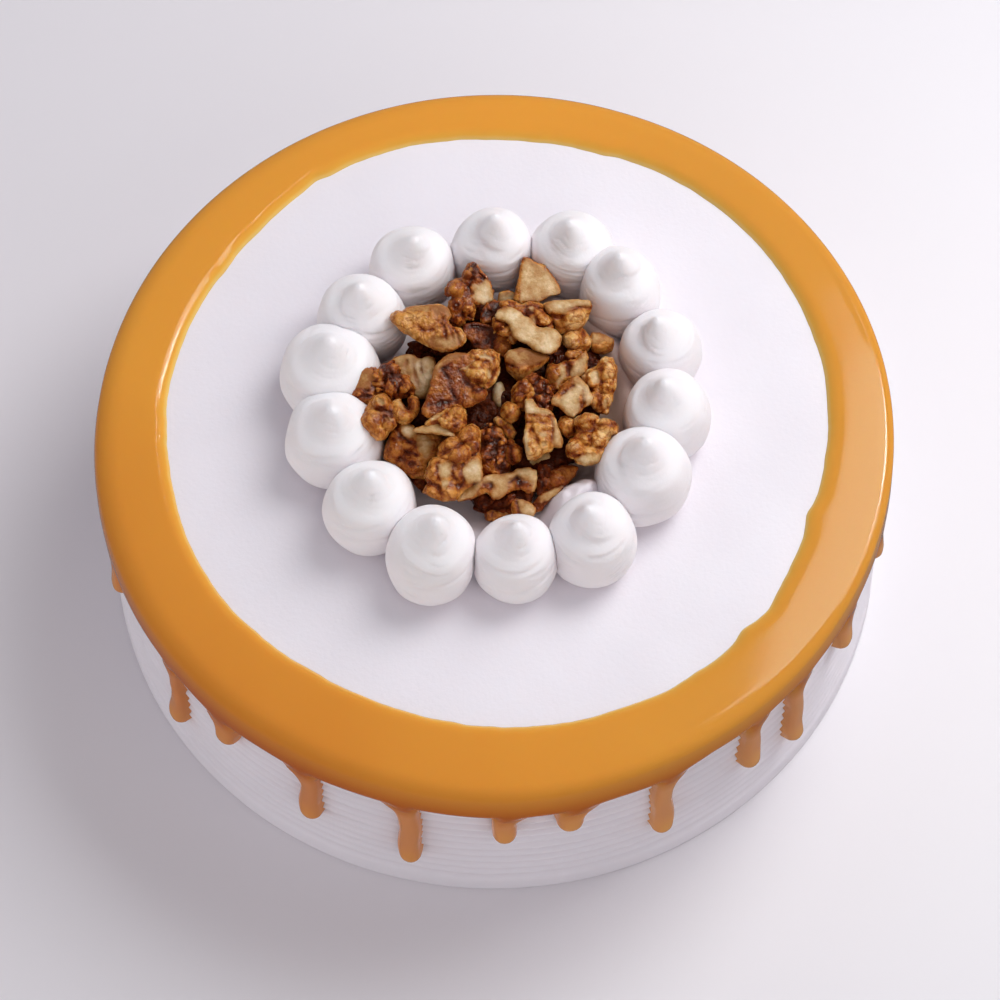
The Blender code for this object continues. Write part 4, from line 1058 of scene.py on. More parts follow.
         "pale": [[(-13.2, -9.5), (-11.5, -8.4), (-9.9, -8.1), (-10.5, -8.9), (-12.9, -10.1)]],
         "creases": [[(-14.1, -10.6), (-12, -10.5), (-10.1, -11.3), (-7.9, -12.9)], [(-9.6, -7.9),
             (-8.6, -9.1), (-6.7, -9.6)], [(-7.2, -11.7), (-5.7, -10.5), (-4.3, -10.3)]],
         "lobes": [(-6.2, -7.9, 2.1, 1.6), (-8.9, -10.1, 2.3, 1.4), (-6.2, -11.3, 1.9, 1.2)]},
        {"name": "lowLeft", "height": 10.2, "thick": 7, "edge": 1.3, "crinkle": 0.2, "tone": 0.62,
         "slope": (0.05, -0.1), "fall": 0.2, "fleshToneAndShade": 0.2,
         "outline": [(-25.1, -19.9), (-24.9, -17.2), (-24.2, -15.3), (-22, -11.3), (-19.2, -10.9),
             (-17.7, -11.7), (-16.5, -12.9), (-12.5, -13.2), (-10.3, -14.4), (-11, -16.3), (-11.5, -18.7),
             (-12, -19.6), (-14.4, -21.1), (-14.8, -24.9), (-18.2, -24.7), (-22, -21.3)],
         "pale": [[(-21, -11.3), (-19.1, -10.8), (-17.6, -12), (-16.9, -13), (-17.6, -14.5), (-18.9, -14.9),
             (-20.1, -14), (-20.8, -12.7)], [(-16.7, -13.5), (-14.4, -13.9), (-12.5, -15.3), (-12.9, -18.2),
             (-14.4, -20.1), (-16.2, -18.2), (-17, -15.8)]],
         "creases": [[(-23.1, -14.8), (-21.1, -16.9), (-19.2, -18.2), (-17, -18.8)], [(-22, -11.7),
             (-21.1, -13.9), (-18.9, -15.4), (-16.3, -16.5)], [(-21.1, -19.6), (-18.7, -21.1),
             (-16.3, -21.6)]],
         "lobes": [(-22.5, -17.7, 2.6, 1.4), (-18.9, -16.3, 1.9, 1), (-14.8, -16.8, 2.4, 1.4),
             (-17.7, -21.6, 2.4, 1)]},
        {"name": "frontTop", "height": 15.8, "thick": 7, "edge": 2, "crinkle": 0.3, "tone": 0.7,
         "slope": (-0.1, -0.3),
         "outline": [(-11.3, -19.6), (-10.9, -16.8), (-10.1, -15.8), (-3.8, -11.5), (-2.4, -11.1), (-1, -12),
             (-0.5, -13.2), (-0.7, -14.4), (-0.5, -15.6), (-0.9, -19.2), (-2.4, -20.1), (-4.8, -20.8),
             (-6.7, -21.1), (-10.8, -20.5)],
         "creases": [[(-10.8, -18.7), (-2.4, -14.8)], [(-10.1, -20.5), (-6.7, -20.7), (-1.2, -18.4)],
             [(-2.4, -14.6), (-1.2, -15.8), (-1, -17.7)]],
         "lobes": [(-3.6, -13.4, 2.9, 1.8), (-8.1, -16.3, 2.5, 1.6), (-5.7, -18.7, 3, 1.8),
             (-1.7, -16.5, 1.5, 1.2)]},
        {"name": "frontBase", "height": 13.2, "thick": 8, "edge": 1.3, "crinkle": 0.3, "tone": 0.7,
         "slope": (-0.08, -0.05), "fall": 0.25, "fleshToneAndShade": 0.4,
         "outline": [(-15.1, -28.7), (-13.7, -26.3), (-14.6, -24.4), (-14.1, -22.5), (-13.4, -21.1),
             (-12.5, -19.9), (-11, -19.6), (-6.7, -20.1), (-0.9, -18.7), (-0.5, -19.9), (0, -23.9),
             (-0.2, -25.4), (-3.8, -27.3), (-5, -28.3), (-6.5, -30.4), (-10.1, -30.7)],
         "pale": [[(-11.5, -21.5), (-8.9, -20.6), (-7.3, -21.1), (-7.9, -22.5), (-8, -23.9), (-8.9, -25),
             (-10.8, -25)], [(-4.6, -21.5), (-1.3, -19.8), (-0.2, -20.6), (0.1, -23.9), (-0.2, -25.6),
             (-1.6, -26.4), (-3.4, -26.4), (-4.3, -25.2), (-5, -23.2)], [(-10.5, -25.4), (-9.1, -25.1),
             (-8.6, -26.3), (-9.3, -28), (-10.3, -27.5)]],
         "creases": [[(-11.5, -21.1), (-11.7, -23.5), (-10.9, -25.4)], [(-7.2, -21.1), (-7.7, -23.9),
             (-6.7, -25.4)], [(-4.8, -21.1), (-5.3, -23.5), (-4.6, -25.6)], [(-13.9, -26.3), (-11.5, -26.8),
             (-10.5, -28.7)], [(-8.6, -26.8), (-1.9, -26.6)]],
         "lobes": [(-12.9, -23.9, 1.8, 1.2), (-13.4, -28.3, 1.9, 1.2), (-8.6, -28.7, 2.6, 1.4),
             (-6.2, -24.4, 1.6, 0.8)]},
        {"name": "wetDark", "height": 11, "thick": 6.5, "edge": 1.6, "crinkle": 1.1, "tone": 0.53,
         "slope": (-0.05, -0.1),
         "outline": [(-0.5, -13.4), (1.9, -11), (4.3, -12.5), (5.7, -14.4), (7.9, -15.8), (6.7, -16.5),
             (6.2, -18), (6.9, -22.3), (6.7, -23.7), (1, -24.2), (0, -23), (-0.4, -20.4)],
         "creases": [[(2.9, -12), (2.4, -14.8), (0, -16.3)], [(3.8, -17.2), (2.9, -19.6), (1, -21.1)],
             [(5.7, -18.2), (4.8, -20.6), (5.7, -23)]],
         "lobes": [(1.4, -13.9, 2, 1.6), (1.4, -18.7, 2, 1.2), (4.3, -21.1, 1.9, 1.2), (5.3, -16.3, 1.4, 1)]},
        {"name": "wetStrip", "height": 12.6, "thick": 5, "edge": 1.6, "crinkle": 0.5, "tone": 0.88,
         "slope": (-0.1, -0.1),
         "outline": [(3.3, -9.8), (4.3, -9.2), (5.7, -9.8), (6.9, -10.8), (7.9, -12), (8.5, -13.4),
             (7.9, -14.6), (6.7, -14.1), (5.3, -12.5), (3.8, -11.3)],
         "creases": [[(4.8, -10.1), (6.2, -12), (7.2, -13.9)]],
         "lobes": [(7.2, -13.2, 1.5, 1.2), (4.6, -10.3, 1.2, 1)]},
        {"name": "ridgeRound", "height": 12.2, "thick": 4.5, "edge": 2.2, "crinkle": 0.2, "tone": 0.52,
         "slope": (-0.05, -0.1),
         "outline": [(6.5, -17), (7.7, -16.3), (9.1, -16.3), (10.3, -17.2), (10.3, -19.2), (9.8, -20.6),
             (8.1, -21.3), (6.7, -20.6), (6.2, -18.7)],
         "creases": [[(7.7, -16.5), (7.4, -18.7), (7.9, -20.8)]],
         "lobes": [(8.6, -18.7, 2.1, 1.2)]},
        {"name": "upright", "height": 15.6, "thick": 7, "edge": 0.7, "crinkle": 0.25, "tone": 0.84,
         "slope": (-0.08, -0.2), "fall": 0.2, "fleshToneAndShade": 0.3,
         "outline": [(11.4, -4.8), (13.2, -4.8), (14, -6.5), (15.6, -7.2), (17.2, -7.4), (18, -7.9),
             (20.8, -15.1), (20.4, -16.8), (19.4, -16.8), (18.4, -16), (18, -17.7), (15.6, -18.7),
             (14.8, -19.6), (13.4, -20.1), (12.2, -19.9), (11, -15.3), (11.6, -10.1)],
         "pale": [[(10.9, -4.7), (13.3, -4.4), (14.2, -6.3), (15.7, -7), (17.5, -7.2), (18.3, -8.3),
             (17.3, -8.7), (14.4, -8.2), (11.8, -8.2), (10.9, -7.8)], [(17.5, -7.7), (19.6, -11.3),
             (21.2, -15.1), (20.5, -17.1), (19.3, -16.9), (18.3, -15.9), (18.2, -14.4), (18.7, -12.5)],
             [(10.6, -12.5), (11.7, -12.5), (12.1, -18.2), (11.3, -17.8)], [(14.8, -13.2), (16.5, -12.9),
             (17, -13.9), (15.8, -14.4), (14.9, -13.9)], [(15.3, -15.6), (16.5, -15.3), (16.8, -16.5),
             (15.8, -17)]],
         "creases": [[(11.7, -8.4), (17.7, -8.9)], [(12, -10.5), (14.8, -10.3), (18, -10.8)], [(12.9, -12.5),
             (14.4, -14.8), (14.8, -17.2)], [(18.2, -9.1), (18.4, -12.5), (18.1, -15.8)], [(15.3, -12.5),
             (17.7, -12.7)]],
         "lobes": [(13.4, -17.5, 2.3, 1.4), (15.8, -15.3, 2.4, 1.2), (15.3, -10.5, 2.6, 0.8)]},
        {"name": "underUpright", "height": 7.6, "thick": 5, "edge": 1.2, "crinkle": 0.15, "tone": 0.82,
         "slope": (0, 0), "fleshToneAndShade": 0.3,
         "outline": [(11.7, -20.1), (13.4, -20.1), (17, -18.2), (17.5, -19.2), (17, -20.6), (15.3, -21.6),
             (13.4, -21.6), (12, -21.1)],
         "pale": [[(11.5, -19.6), (17.7, -18), (18, -19.6), (15.3, -21.9), (11.7, -21.7)]]},
        {"name": "brownLobe", "height": 12.4, "thick": 5.5, "edge": 2.2, "crinkle": 0.25, "tone": 0.82,
         "slope": (-0.05, -0.1),
         "outline": [(19.9, -10.3), (20.6, -9.3), (22, -8.9), (23.7, -9.1), (24.4, -10.5), (24.4, -12.5),
             (23.5, -13.9), (22.3, -14.6), (21.1, -13.4), (20.1, -12)],
         "creases": [[(22.3, -14.1), (23.7, -12.9), (24.4, -11.5)]],
         "lobes": [(22.3, -11.3, 2.3, 1.6)]},
        {"name": "rightBig", "height": 13.8, "thick": 8, "edge": 2, "crinkle": 0.35, "tone": 0.88,
         "slope": (-0.1, -0.2), "fall": 0.25, "fleshToneAndShade": 0.2,
         "outline": [(21.8, -17.7), (22, -16.8), (23, -15.3), (24.4, -14.1), (25, -12.9), (24.4, -11.7),
             (24.2, -9.8), (25.1, -9.1), (26.8, -8.4), (28.5, -8.5), (29.9, -9.1), (30.1, -10.2),
             (31.4, -9.8), (33.1, -9.8), (34.7, -10.5), (35.2, -11.7), (35, -13.2), (33.5, -13.7),
             (31.6, -17.5), (31.4, -18.9), (30.7, -20.4), (28.7, -21.2), (26.6, -21.4), (25.1, -21.1),
             (24.2, -19.9), (22.5, -19.2)],
         "pale": [[(24.5, -20.2), (26.2, -18.7), (28.7, -18.3), (31.5, -18.7), (30.8, -20.6), (28.7, -21.6),
             (26.3, -21.7)], [(27.8, -8.9), (29, -8.7), (29.7, -9.3), (28.7, -9.8)]],
         "creases": [[(24.7, -11.7), (26.1, -12.5), (28.7, -12), (29.2, -10.3)], [(25.4, -13.4),
             (28.7, -12.5)], [(23.5, -14.6), (25.4, -15.1), (26.3, -16.8)], [(26.8, -16.5), (31.6, -17.2)],
             [(28, -13.9), (28.7, -17)], [(28.3, -11.3), (35, -11)], [(22.5, -18.7), (24.4, -19.2),
             (26.3, -18.7)], [(28.3, -10.5), (28.5, -12)]],
         "lobes": [(23.9, -17, 2.4, 1.8), (26.8, -9.6, 2.1, 1.6), (32.6, -11.5, 2.6, 1.8),
             (30.4, -14.6, 2.4, 1.8), (27.3, -14.6, 1.7, 1.2), (27.8, -19.6, 2.6, 1)]},
        {"name": "wavyStrip", "height": 9.6, "thick": 5, "edge": 0.7, "crinkle": 0.1, "tone": 0.45,
         "slope": (-0.05, -0.25), "fall": 0.3,
         "outline": [(-6.2, -30.8), (-5.3, -29.5), (-4.8, -28.3), (-2.9, -26.8), (-0.5, -25.9), (0.2, -25.1),
             (1.9, -24.3), (7.9, -23.8), (9.1, -22.8), (11, -22.4), (12.7, -22.5), (13.9, -23.2),
             (14.1, -24.7), (13.9, -26.8), (13.4, -28.3), (12.2, -28.7), (10.3, -27.7), (7.9, -27.8),
             (4.3, -30.2), (3.1, -30.4), (1.4, -28.3), (-2.9, -30.2)],
         "pale": [[(-6.7, -31.1), (-4.8, -28), (1.9, -23.9), (7.9, -23.5), (9.3, -22.4), (12.9, -22),
             (14.5, -23.2), (14.3, -26.8), (13.5, -28.7), (12.8, -28.5), (13, -26.8), (12, -25.9),
             (10.5, -25.5), (9.1, -24.4), (6.9, -26), (6.9, -27.4), (6.2, -29), (4.2, -30.6), (2.6, -30.1),
             (2.6, -28.5), (3.2, -26.8), (2.5, -26.1), (0.2, -26.3), (-2.4, -29.8)]],
         "creases": [[(8.9, -24.5), (10.1, -26.8)], [(0.2, -26.3), (2.4, -26.1), (3.1, -27.1)], [(6.9, -26.1),
             (9.1, -24.7), (10.5, -25.6), (12.7, -26.3)]],
         "lobes": [(11.7, -24.2, 2.2, 1.2), (10.1, -26.6, 1.9, 0.8)]},
        {"name": "lowDark", "height": 6.2, "thick": 5, "edge": 1.6, "crinkle": 0.8, "tone": 0.14,
         "slope": (0, 0),
         "outline": [(-2.4, -28.7), (-0.5, -28.3), (2.9, -29.9), (10.1, -28), (12.5, -28.7), (12.9, -30.7),
             (10.5, -33.1), (6.7, -33.5), (0, -33.5), (-1.9, -32.6)],
         "lobes": [(1, -30.9, 2.4, 1.2), (7.7, -30.7, 2.4, 1)]},
        {"name": "frontChip", "height": 7.2, "thick": 4.5, "edge": 0.8, "crinkle": 0.14, "tone": 0.6,
         "slope": (-0.05, -0.15), "fall": 0.4,
         "outline": [(7.9, -31.1), (8.9, -30.4), (10.5, -30.7), (12.5, -31.6), (13.7, -32.6), (13.9, -33.5),
             (13.2, -34.7), (11.3, -34.5), (9.8, -34), (8.1, -34), (7.7, -32.6)],
         "pale": [[(9.1, -30.3), (10.8, -30.4), (14.1, -32.8), (13.3, -35.2), (10, -34.3)]],
         "creases": [[(9.2, -30.9), (9.7, -34.2)]]},
        {"name": "rightLow", "height": 6.8, "thick": 5, "edge": 1, "crinkle": 0.1, "tone": 0.44,
         "slope": (0, -0.1),
         "outline": [(14.1, -24.9), (15.3, -23.9), (17.2, -23.7), (18.7, -22.8), (20.6, -22), (23.5, -21.8),
             (24.7, -22.3), (23.9, -24.2), (21.6, -26.8), (19.6, -27.3), (18.2, -28.1), (16.5, -27.5),
             (15.3, -29.2), (14.4, -29)],
         "creases": [[(14.8, -24.4), (15.8, -26.3), (15.3, -28.7)]],
         "lobes": [(19.6, -25.4, 2.2, 1.4), (16, -25.9, 1.7, 1.2)]},
        {"name": "rightLowChip", "height": 6.4, "thick": 4, "edge": 0.8, "crinkle": 0.3, "tone": 0.42,
         "slope": (0, -0.15), "fall": 0.3, "fleshToneAndShade": 0.5,
         "outline": [(14.4, -30.4), (15.3, -29), (21.1, -26.8), (20.8, -27.8), (19.6, -29.2), (17.7, -30.4),
             (15.3, -33.3), (14.1, -33.5), (13.2, -32.1)],
         "pale": [[(14.8, -29.8), (17.2, -28.4), (21.1, -26.7), (19.7, -29.1), (17.3, -30.6),
             (15.3, -31.2)]]},
        {"name": "frontCrumb", "height": 4.6, "thick": 3.5, "edge": 1, "crinkle": 0.4, "tone": 0.45,
         "slope": (0, -0.1), "fleshToneAndShade": 0.8,
         "outline": [(0.7, -34), (2.4, -33.1), (4.3, -33.1), (5.7, -33.4), (7.4, -33.1), (7.7, -33.6),
             (2.9, -36), (1.4, -35.5)],
         "pale": [[(4.1, -33), (5.7, -33.3), (7.6, -32.9), (6.7, -34), (4.8, -33.9)]]},
        # dark pieces in the gaps, their darkness painted shade
        {"name": "shadeFlat", "height": 8, "thick": 5, "edge": 1.2, "crinkle": 0.3, "tone": 0.1,
         "slope": (0, 0),
         "outline": [(-4.3, -6.7), (1, -4.3), (2.9, -5.3), (4.3, -7.7), (2.9, -10.5), (0, -12.5), (-2.4, -11),
             (-4.1, -9.6)]},
        {"name": "shadeDark", "height": 9.8, "thick": 4, "edge": 1.2, "crinkle": 0.6, "tone": 0.16,
         "slope": (0, 0),
         "outline": [(-18.9, 9.6), (-17.2, 10.4), (-14.8, 10.1), (-13.9, 8.6), (-15.8, 7.1), (-17.7, 7.3)]},
        {"name": "lowLeftDark", "height": 6, "thick": 5, "edge": 1.4, "crinkle": 0.6, "tone": 0.16,
         "slope": (0, 0),
         "outline": [(-19.6, -22), (-17.2, -21.6), (-14.8, -23), (-14.1, -26.3), (-15.1, -28.5),
             (-18.7, -24.4)]},
        # a core under the pieces, painted near black for the shade in the gaps
        {"name": "heapCore", "height": 4.6, "thick": 10.5, "edge": 5, "crinkle": 1, "tone": 0.06,
         "slope": (0.007, -0.51),
         "outline": [(-6.7, 21.1), (1, 19.6), (7.7, 20.1), (14.8, 19.6), (24.4, 16.3), (28.3, 10.1),
             (30.7, 4.8), (31.6, -2.9), (30.2, -7.7), (27.8, -12.5), (30.2, -16.3), (26.3, -19.2),
             (21.1, -22), (17.2, -26.3), (12.5, -29.7), (5.7, -32.1), (-1, -30.7), (-13.9, -26.8),
             (-17.2, -22), (-22.5, -18.2), (-25.4, -12.5), (-28.3, -7.7), (-29.2, -1.9), (-24.4, 2.4),
             (-19.6, 6.2), (-18.7, 8.6), (-15.3, 11.5), (-8.6, 16.3)],
         "lobes": [(-16.3, 4.8, 4.3, 2.5), (-4.3, 12.5, 3.8, 2), (7.7, -2.9, 4.3, 2.5), (19.6, 6.7, 3.8, 2),
             (22, -7.7, 4.3, 2), (-1.9, -10.1, 4.3, 2.5), (10.1, -18.7, 4.3, 2), (16.3, -23, 3.4, 2),
             (-12.5, -17.2, 4.3, 2)]},
        {"name": "behindFan", "height": 9.6, "thick": 5, "edge": 1.6, "crinkle": 0.7, "tone": 0.15,
         "slope": (0, 0),
         "outline": [(-8.6, 12.5), (-6.7, 8.6), (-8.6, 6.7), (-11.5, 6.7), (-12.9, 7.7), (-10.5, 9.6)]},
    ],
}


def segmentGaps(starts, ends, places):
    # distance from each place to each straight line
    along = ends - starts
    off = places[:, None] - starts
    share = np.clip((off * along).sum(-1) / np.maximum((along ** 2).sum(-1), 1e-9), 0, 1)
    return np.linalg.norm(off - share[..., None] * along, axis=-1)


def insideOutline(outline, places):
    # mm inside a closed outline; below zero outside it
    corner = np.array(outline, float)
    after = np.roll(corner, -1, 0)
    gap = segmentGaps(corner, after, places).min(1)
    x, y = places[:, :1], places[:, 1:]
    spans = (corner[:, 1] > y) != (after[:, 1] > y)
    rise = np.where(after[:, 1] == corner[:, 1], 1e-9, after[:, 1] - corner[:, 1])
    crossed = spans & (x < corner[:, 0] + (y - corner[:, 1]) / rise * (after[:, 0] - corner[:, 0]))
    return np.where(crossed.sum(1) % 2 == 1, gap, -gap)


def netSurface(field, step):
    # a closed mesh where the field passes zero; it is above zero inside
    cells = tuple(size - 1 for size in field.shape)
    total, count = np.zeros(cells + (3,)), np.zeros(cells)
    number = np.full(cells, -1)
    crossings = []
    for axis in range(3):
        low = np.moveaxis(field, axis, 0)[:-1]
        high = np.moveaxis(field, axis, 0)[1:]
        crossed = (low > 0) != (high > 0)
        share = np.where(crossed, low / np.where(crossed, low - high, 1), 0)
        place = np.stack(np.meshgrid(*map(np.arange, crossed.shape), indexing="ij"), -1).astype(float)
        place[..., 0] += share
        place = np.moveaxis(place, -1, 0)
        order = [axis] + [other for other in range(3) if other != axis]
        back = np.argsort(order)
        place = np.stack([place[back[spot]] for spot in range(3)], -1) * crossed[..., None]
        deep, wide = cells[order[1]], cells[order[2]]
        for first, second in itertools.product((0, 1), repeat=2):
            pick = (slice(None), slice(first, first + deep), slice(second, second + wide))
            total += np.transpose(place[pick], (*back, 3))
            count += np.transpose(crossed[pick], back)
        crossings.append((crossed, low > 0, back))
    used = count > 0
    number[used] = np.arange(used.sum())
    points = total[used] / count[used][:, None] * step
    faces = []
    for axis, (crossed, fromInside, back) in enumerate(crossings):
        turned = np.transpose(number, np.argsort(back))
        i, j, k = (np.argwhere(crossed[:, 1:-1, 1:-1]) + (0, 1, 1)).T
        corners = [(j - 1, k - 1), (j, k - 1), (j, k), (j - 1, k)]
        quad = np.stack([turned[i, first, second] for first, second in corners], 1)
        flip = fromInside[i, j, k] == (axis == 1)
        quad[flip] = quad[flip][:, ::-1]
        faces.append(quad)
    return points, np.concatenate(faces)


def grooveDepth(points, salt):
    # the skin's wandering grooves, coarse and fine: 0 on the lobes, deepest at the bottom of a groove
    bend = np.stack([softNoise(points / 3.5, salt + turn) for turn in range(3)], 1) * 0.35
    total = []
    for order, (size, deep) in enumerate(walnuts["grooves"]):
        wave = np.abs(softNoise(points / size + bend, salt + 5 + order))
        total.append((1 - np.clip(wave * 2.8, 0, 1)) ** 1.8 * deep)
    return total


def nutSurface(facts, places, salt):
    # over a place of the drawing: mm inside the outline, tilt and relief of the face, and how far it is
    # flesh, a crease, and deep in the flesh
    outline = np.array(facts["outline"], float)
    wobble = 0.18 * flatNoise(places, 1.4, salt)
    wobble += 0.09 * flatNoise(places, 0.6, salt + 3)
    inside = insideOutline(outline, places) + wobble + walnuts["spread"]
    tilt = (places - outline.mean(0)) @ np.array(facts["slope"], float)
    cut = np.full(len(places), -6.0)
    for patch in facts.get("pale", ()):
        cut = np.maximum(cut, insideOutline(patch, places) + 1.4 * wobble)
    flesh = np.clip(0.5 + cut / 0.45, 0, 1)
    groove, stain = np.zeros(len(places)), np.zeros(len(places))
    wander = 0.5 * flatNoise(places, 2.2, salt + 1, 7)
    depth = np.clip(0.75 + 0.9 * flatNoise(places, 2.6, salt + 2, 3), 0.15, 1.2)
    for line in facts.get("creases", ()):
        bend = np.array(line, float)
        gap = segmentGaps(bend[:-1], bend[1:], places).min(1) + wander + wobble
        groove = np.maximum(groove, np.exp(-(gap / 0.36) ** 2) * depth)
        stain = np.maximum(stain, np.exp(-(gap / 0.95) ** 2) * depth)
    lobe = np.zeros(len(places))
    for x, y, radius, rise in facts.get("lobes", ()):
        away = np.hypot(places[:, 0] - x, places[:, 1] - y) / radius
        lobe = np.maximum(lobe, rise * np.clip(1 - away ** 2, 0, 1) ** 0.6)
    # the skin falls away from the cut faces
    fall = facts.get("fall", 0) * np.clip(-cut, 0, 5)
    relief = lobe * (1 - 0.6 * flesh) - 0.55 * groove - fall
    deepIn = np.clip(np.minimum(cut, inside) / 1.5, 0, 1)
    # the crease value: the stain beside a crease and, in the groove, painted shade
    return inside, tilt, relief, flesh, 0.45 * groove + 0.55 * stain, deepIn


def makeNut(facts, salt):
    # one piece: a rounded slab between the outline's edges, lobed and grooved on its face
    step, margin = walnuts["grain"], 1.2
    outline = np.array(facts["outline"], float)
    low, high = outline.min(0) - margin, outline.max(0) + margin
    half = facts["thick"] / 2
    columns, lines = (np.arange(low[axis], high[axis], step) for axis in (0, 1))
    flat = np.stack(np.meshgrid(columns, lines, indexing="ij"), -1).reshape(-1, 2)
    inside, tilt, relief, flesh, groove, deepIn = nutSurface(facts, flat, salt)
    tall = half + 3.2 + np.abs(tilt[inside > -0.5]).max()
    levels = np.arange(-tall, tall, step)
    edge = facts["edge"]
    edgeUp = min(edge, half)
    level = levels[None, :] - tilt[:, None]
    reach = half + np.where(level > 0, relief[:, None], 0)
    outward = np.clip(1 - inside / edge, 0, 3)[:, None]
    upward = np.clip((np.abs(level) - (reach - edgeUp)) / edgeUp, 0, 3)
    field = (1 - np.hypot(outward, upward)) * min(edge, edgeUp)
    # grooves are worked out only near the surface
    which, layer = np.nonzero(np.abs(field) < 2.2)
    points = np.column_stack([flat[which], levels[layer]])
    coarse, fine = grooveDepth(points, salt)
    rough = facts["crinkle"] * np.where(level[which, layer] > 0, 1 - 0.85 * flesh[which], 1.0)
    field[which, layer] -= rough * (coarse + fine - 0.45) + 0.06 * softNoise(points * 1.1, salt + 9)
    field = field.reshape(len(columns), len(lines), len(levels))
    field[[0, -1]] = -1
    field[:, [0, -1]] = -1
    field[:, :, [0, -1]] = -1
    points, faces = netSurface(field, step)
    points += (low[0], low[1], -tall)
    inside, tilt, relief, flesh, groove, deepIn = nutSurface(facts, points[:, :2], salt)
    coarse, fine = grooveDepth(points, salt)
    face = np.clip(0.5 + (points[:, 2] - tilt) / 1.5, 0, 1)
    flesh = flesh * face
    rough = np.clip(0.25 + facts["crinkle"], 0, 1) * (1 - flesh)
    # the crease value darkens grooves and creases: partly the skin's own colour, partly painted shade
    dark = np.clip(groove * face + rough * (coarse * 0.7 + fine * 0.8), 0, 1)
    return points, faces, {"flesh": flesh, "crease": dark, "deepIn": deepIn * face + facts.get("fleshToneAndShade", 0),
                           "tone": np.full(len(points), facts["tone"])}


def fromDrawing(points, facts):
    # from the drawing to the cake: every depth lies on the camera's own line
    spot, across, up = (np.array(walnuts[key]) for key in ("spot", "across", "up"))
    eye = np.array(studio["cameraPlace"])
    toward = (eye - spot) / np.linalg.norm(eye - spot)
    middle = np.array(facts["outline"], float).mean(0)
    lift = facts["height"] - (middle[0] * across + middle[1] * up)[2]
    depth = points[:, 2] + lift / toward[2]
    flat = spot + points[:, :1] * across + points[:, 1:2] * up
    return flat + (eye - flat) * (depth / np.linalg.norm(eye - spot))[:, None]


def walnutSkin(tree, where, patchy, mottle, crease):
    # from the dark of a groove over orange brown to the pale crown of a lobe, with thin dark veins; the dark
    # grooves are partly the skin's own colour and partly painted shade, the pale crowns partly painted
    # highlight
    drift = addMath(tree, "ADD", readLayer(tree, "tone"), -0.37)
    drift = addSum(tree, drift, [(patchy, 0.66), (mottle, 0.30), (crease, -0.62)])
    skin = addRamp(tree, drift, [
        (0.0, (0.075, 0.014, 0.004)), (0.16, (0.135, 0.026, 0.006)), (0.36, (0.27, 0.060, 0.011)),
        (0.58, (0.48, 0.165, 0.026)), (0.80, (0.66, 0.30, 0.065)), (1.0, (0.80, 0.50, 0.20))])
    vein = addMath(tree, "SUBTRACT", addNoise(tree, where, 330, 3, Distortion=0.6), 0.5)
    vein = addRamp(tree, addMath(tree, "ABSOLUTE", vein), [
        (0.0, (0.52, 0.34, 0.25)), (0.025, (0.74, 0.60, 0.52)), (0.085, 1)])
    return addMix(tree, 1.0, skin, vein, "MULTIPLY")


def walnutFlesh(tree, patchy, mottle, crease):
    # gold at its edges and stains, pale cream in the middle, and darker along the creases with their stain
    # and painted shade
    # the piece's own shift of the flesh's colour, which on cupPale is painted shade
    fleshToneAndShade = addMath(tree, "MULTIPLY_ADD", readLayer(tree, "deepIn"), 0.24, -0.36)
    fleshToneAndShade = addSum(tree, fleshToneAndShade, [(patchy, 1.25), (mottle, 0.35)])
    pale = addRamp(tree, fleshToneAndShade, [
        (0.32, (0.32, 0.110, 0.022)), (0.46, (0.46, 0.225, 0.065)), (0.60, (0.55, 0.33, 0.132)),
        (0.78, (0.72, 0.51, 0.28)), (0.96, (0.86, 0.68, 0.44))])
    return addMix(tree, crease, pale, (0.33, 0.12, 0.035))


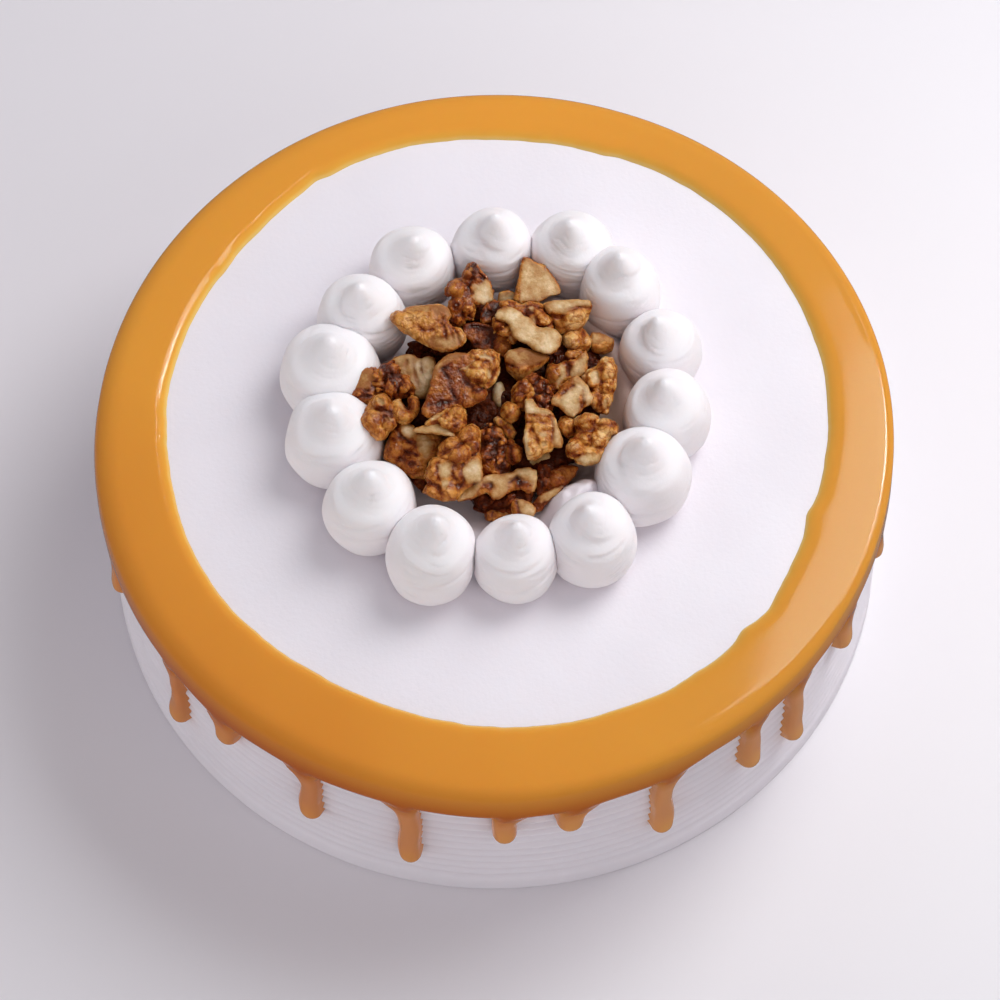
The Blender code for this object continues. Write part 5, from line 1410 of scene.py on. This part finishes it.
def walnutMaterial(name, shine):
    material, tree, shader = newMaterial(
        name, IOR=1.5, Specular_IOR_Level=shine,
        Subsurface_Weight=0.25, Subsurface_Radius=(1.0, 0.45, 0.2), Subsurface_Scale=0.0012)
    flesh, crease = readLayer(tree, "flesh"), readLayer(tree, "crease")
    where = objectPlace(tree)
    patchy = addNoise(tree, where, 240, 5, Roughness=0.62)
    mottle = addNoise(tree, where, 700, 4, Roughness=0.6)
    skin = walnutSkin(tree, where, patchy, mottle, crease)
    pale = walnutFlesh(tree, patchy, mottle, crease)
    tree.links.new(addMix(tree, flesh, skin, pale), shader.inputs["Base Color"])
    # wet only in small spots
    wet = addRamp(tree, mottle, [(0.47, 0.08), (0.53, 0.45)])
    tree.links.new(addMix(tree, flesh, wet, (0.6, 0.6, 0.6)), shader.inputs["Roughness"])
    grit = addMix(tree, addMath(tree, "MULTIPLY", flesh, 0.6), addNoise(tree, where, 1000, 3), patchy)
    addBump(tree, shader, grit, 0.9, 0.0007)
    return material


def makeWalnuts():
    shiny = walnutMaterial("walnutSkinAndFlesh", 0.16)
    dull = walnutMaterial("walnutShade", 0.05)
    made = 0
    for group in range(walnuts["groups"]):
        points, faces, values, count = [], [], {}, 0
        for index, facts in enumerate(walnuts["pieces"]):
            # the pieces painted dark for the shade under the others are the first group
            own = 0 if facts["tone"] < walnuts["shadeTone"] else 1 + index % (walnuts["groups"] - 1)
            if own != group:
                continue
            spots, quads, layers = makeNut(facts, 200 + 11 * index)
            points.append(fromDrawing(spots, facts))
            faces.append(quads + count)
            for name, layer in layers.items():
                values.setdefault(name, []).append(layer)
            count += len(spots)
        piece = makePiece("walnutPieces_%d" % (group + 1), np.concatenate(points), np.concatenate(faces),
                          shiny if group else dull, ["walnut_heap"])
        for name, layers in values.items():
            addLayer(piece, name, np.concatenate(layers))
        fewer = piece.modifiers.new("fewerFaces", "DECIMATE")
        fewer.ratio = walnuts["keptFaces"]
        made += 2 * sum(map(len, faces)) * walnuts["keptFaces"]
    print("walnuts: %d pieces, about %d triangles" % (len(walnuts["pieces"]), made))


makeCamera()
makeLight()
makeFloor()
print("studio ready")
makeCreamBody()
makeCaramel()
makeKisses()
makeWalnuts()
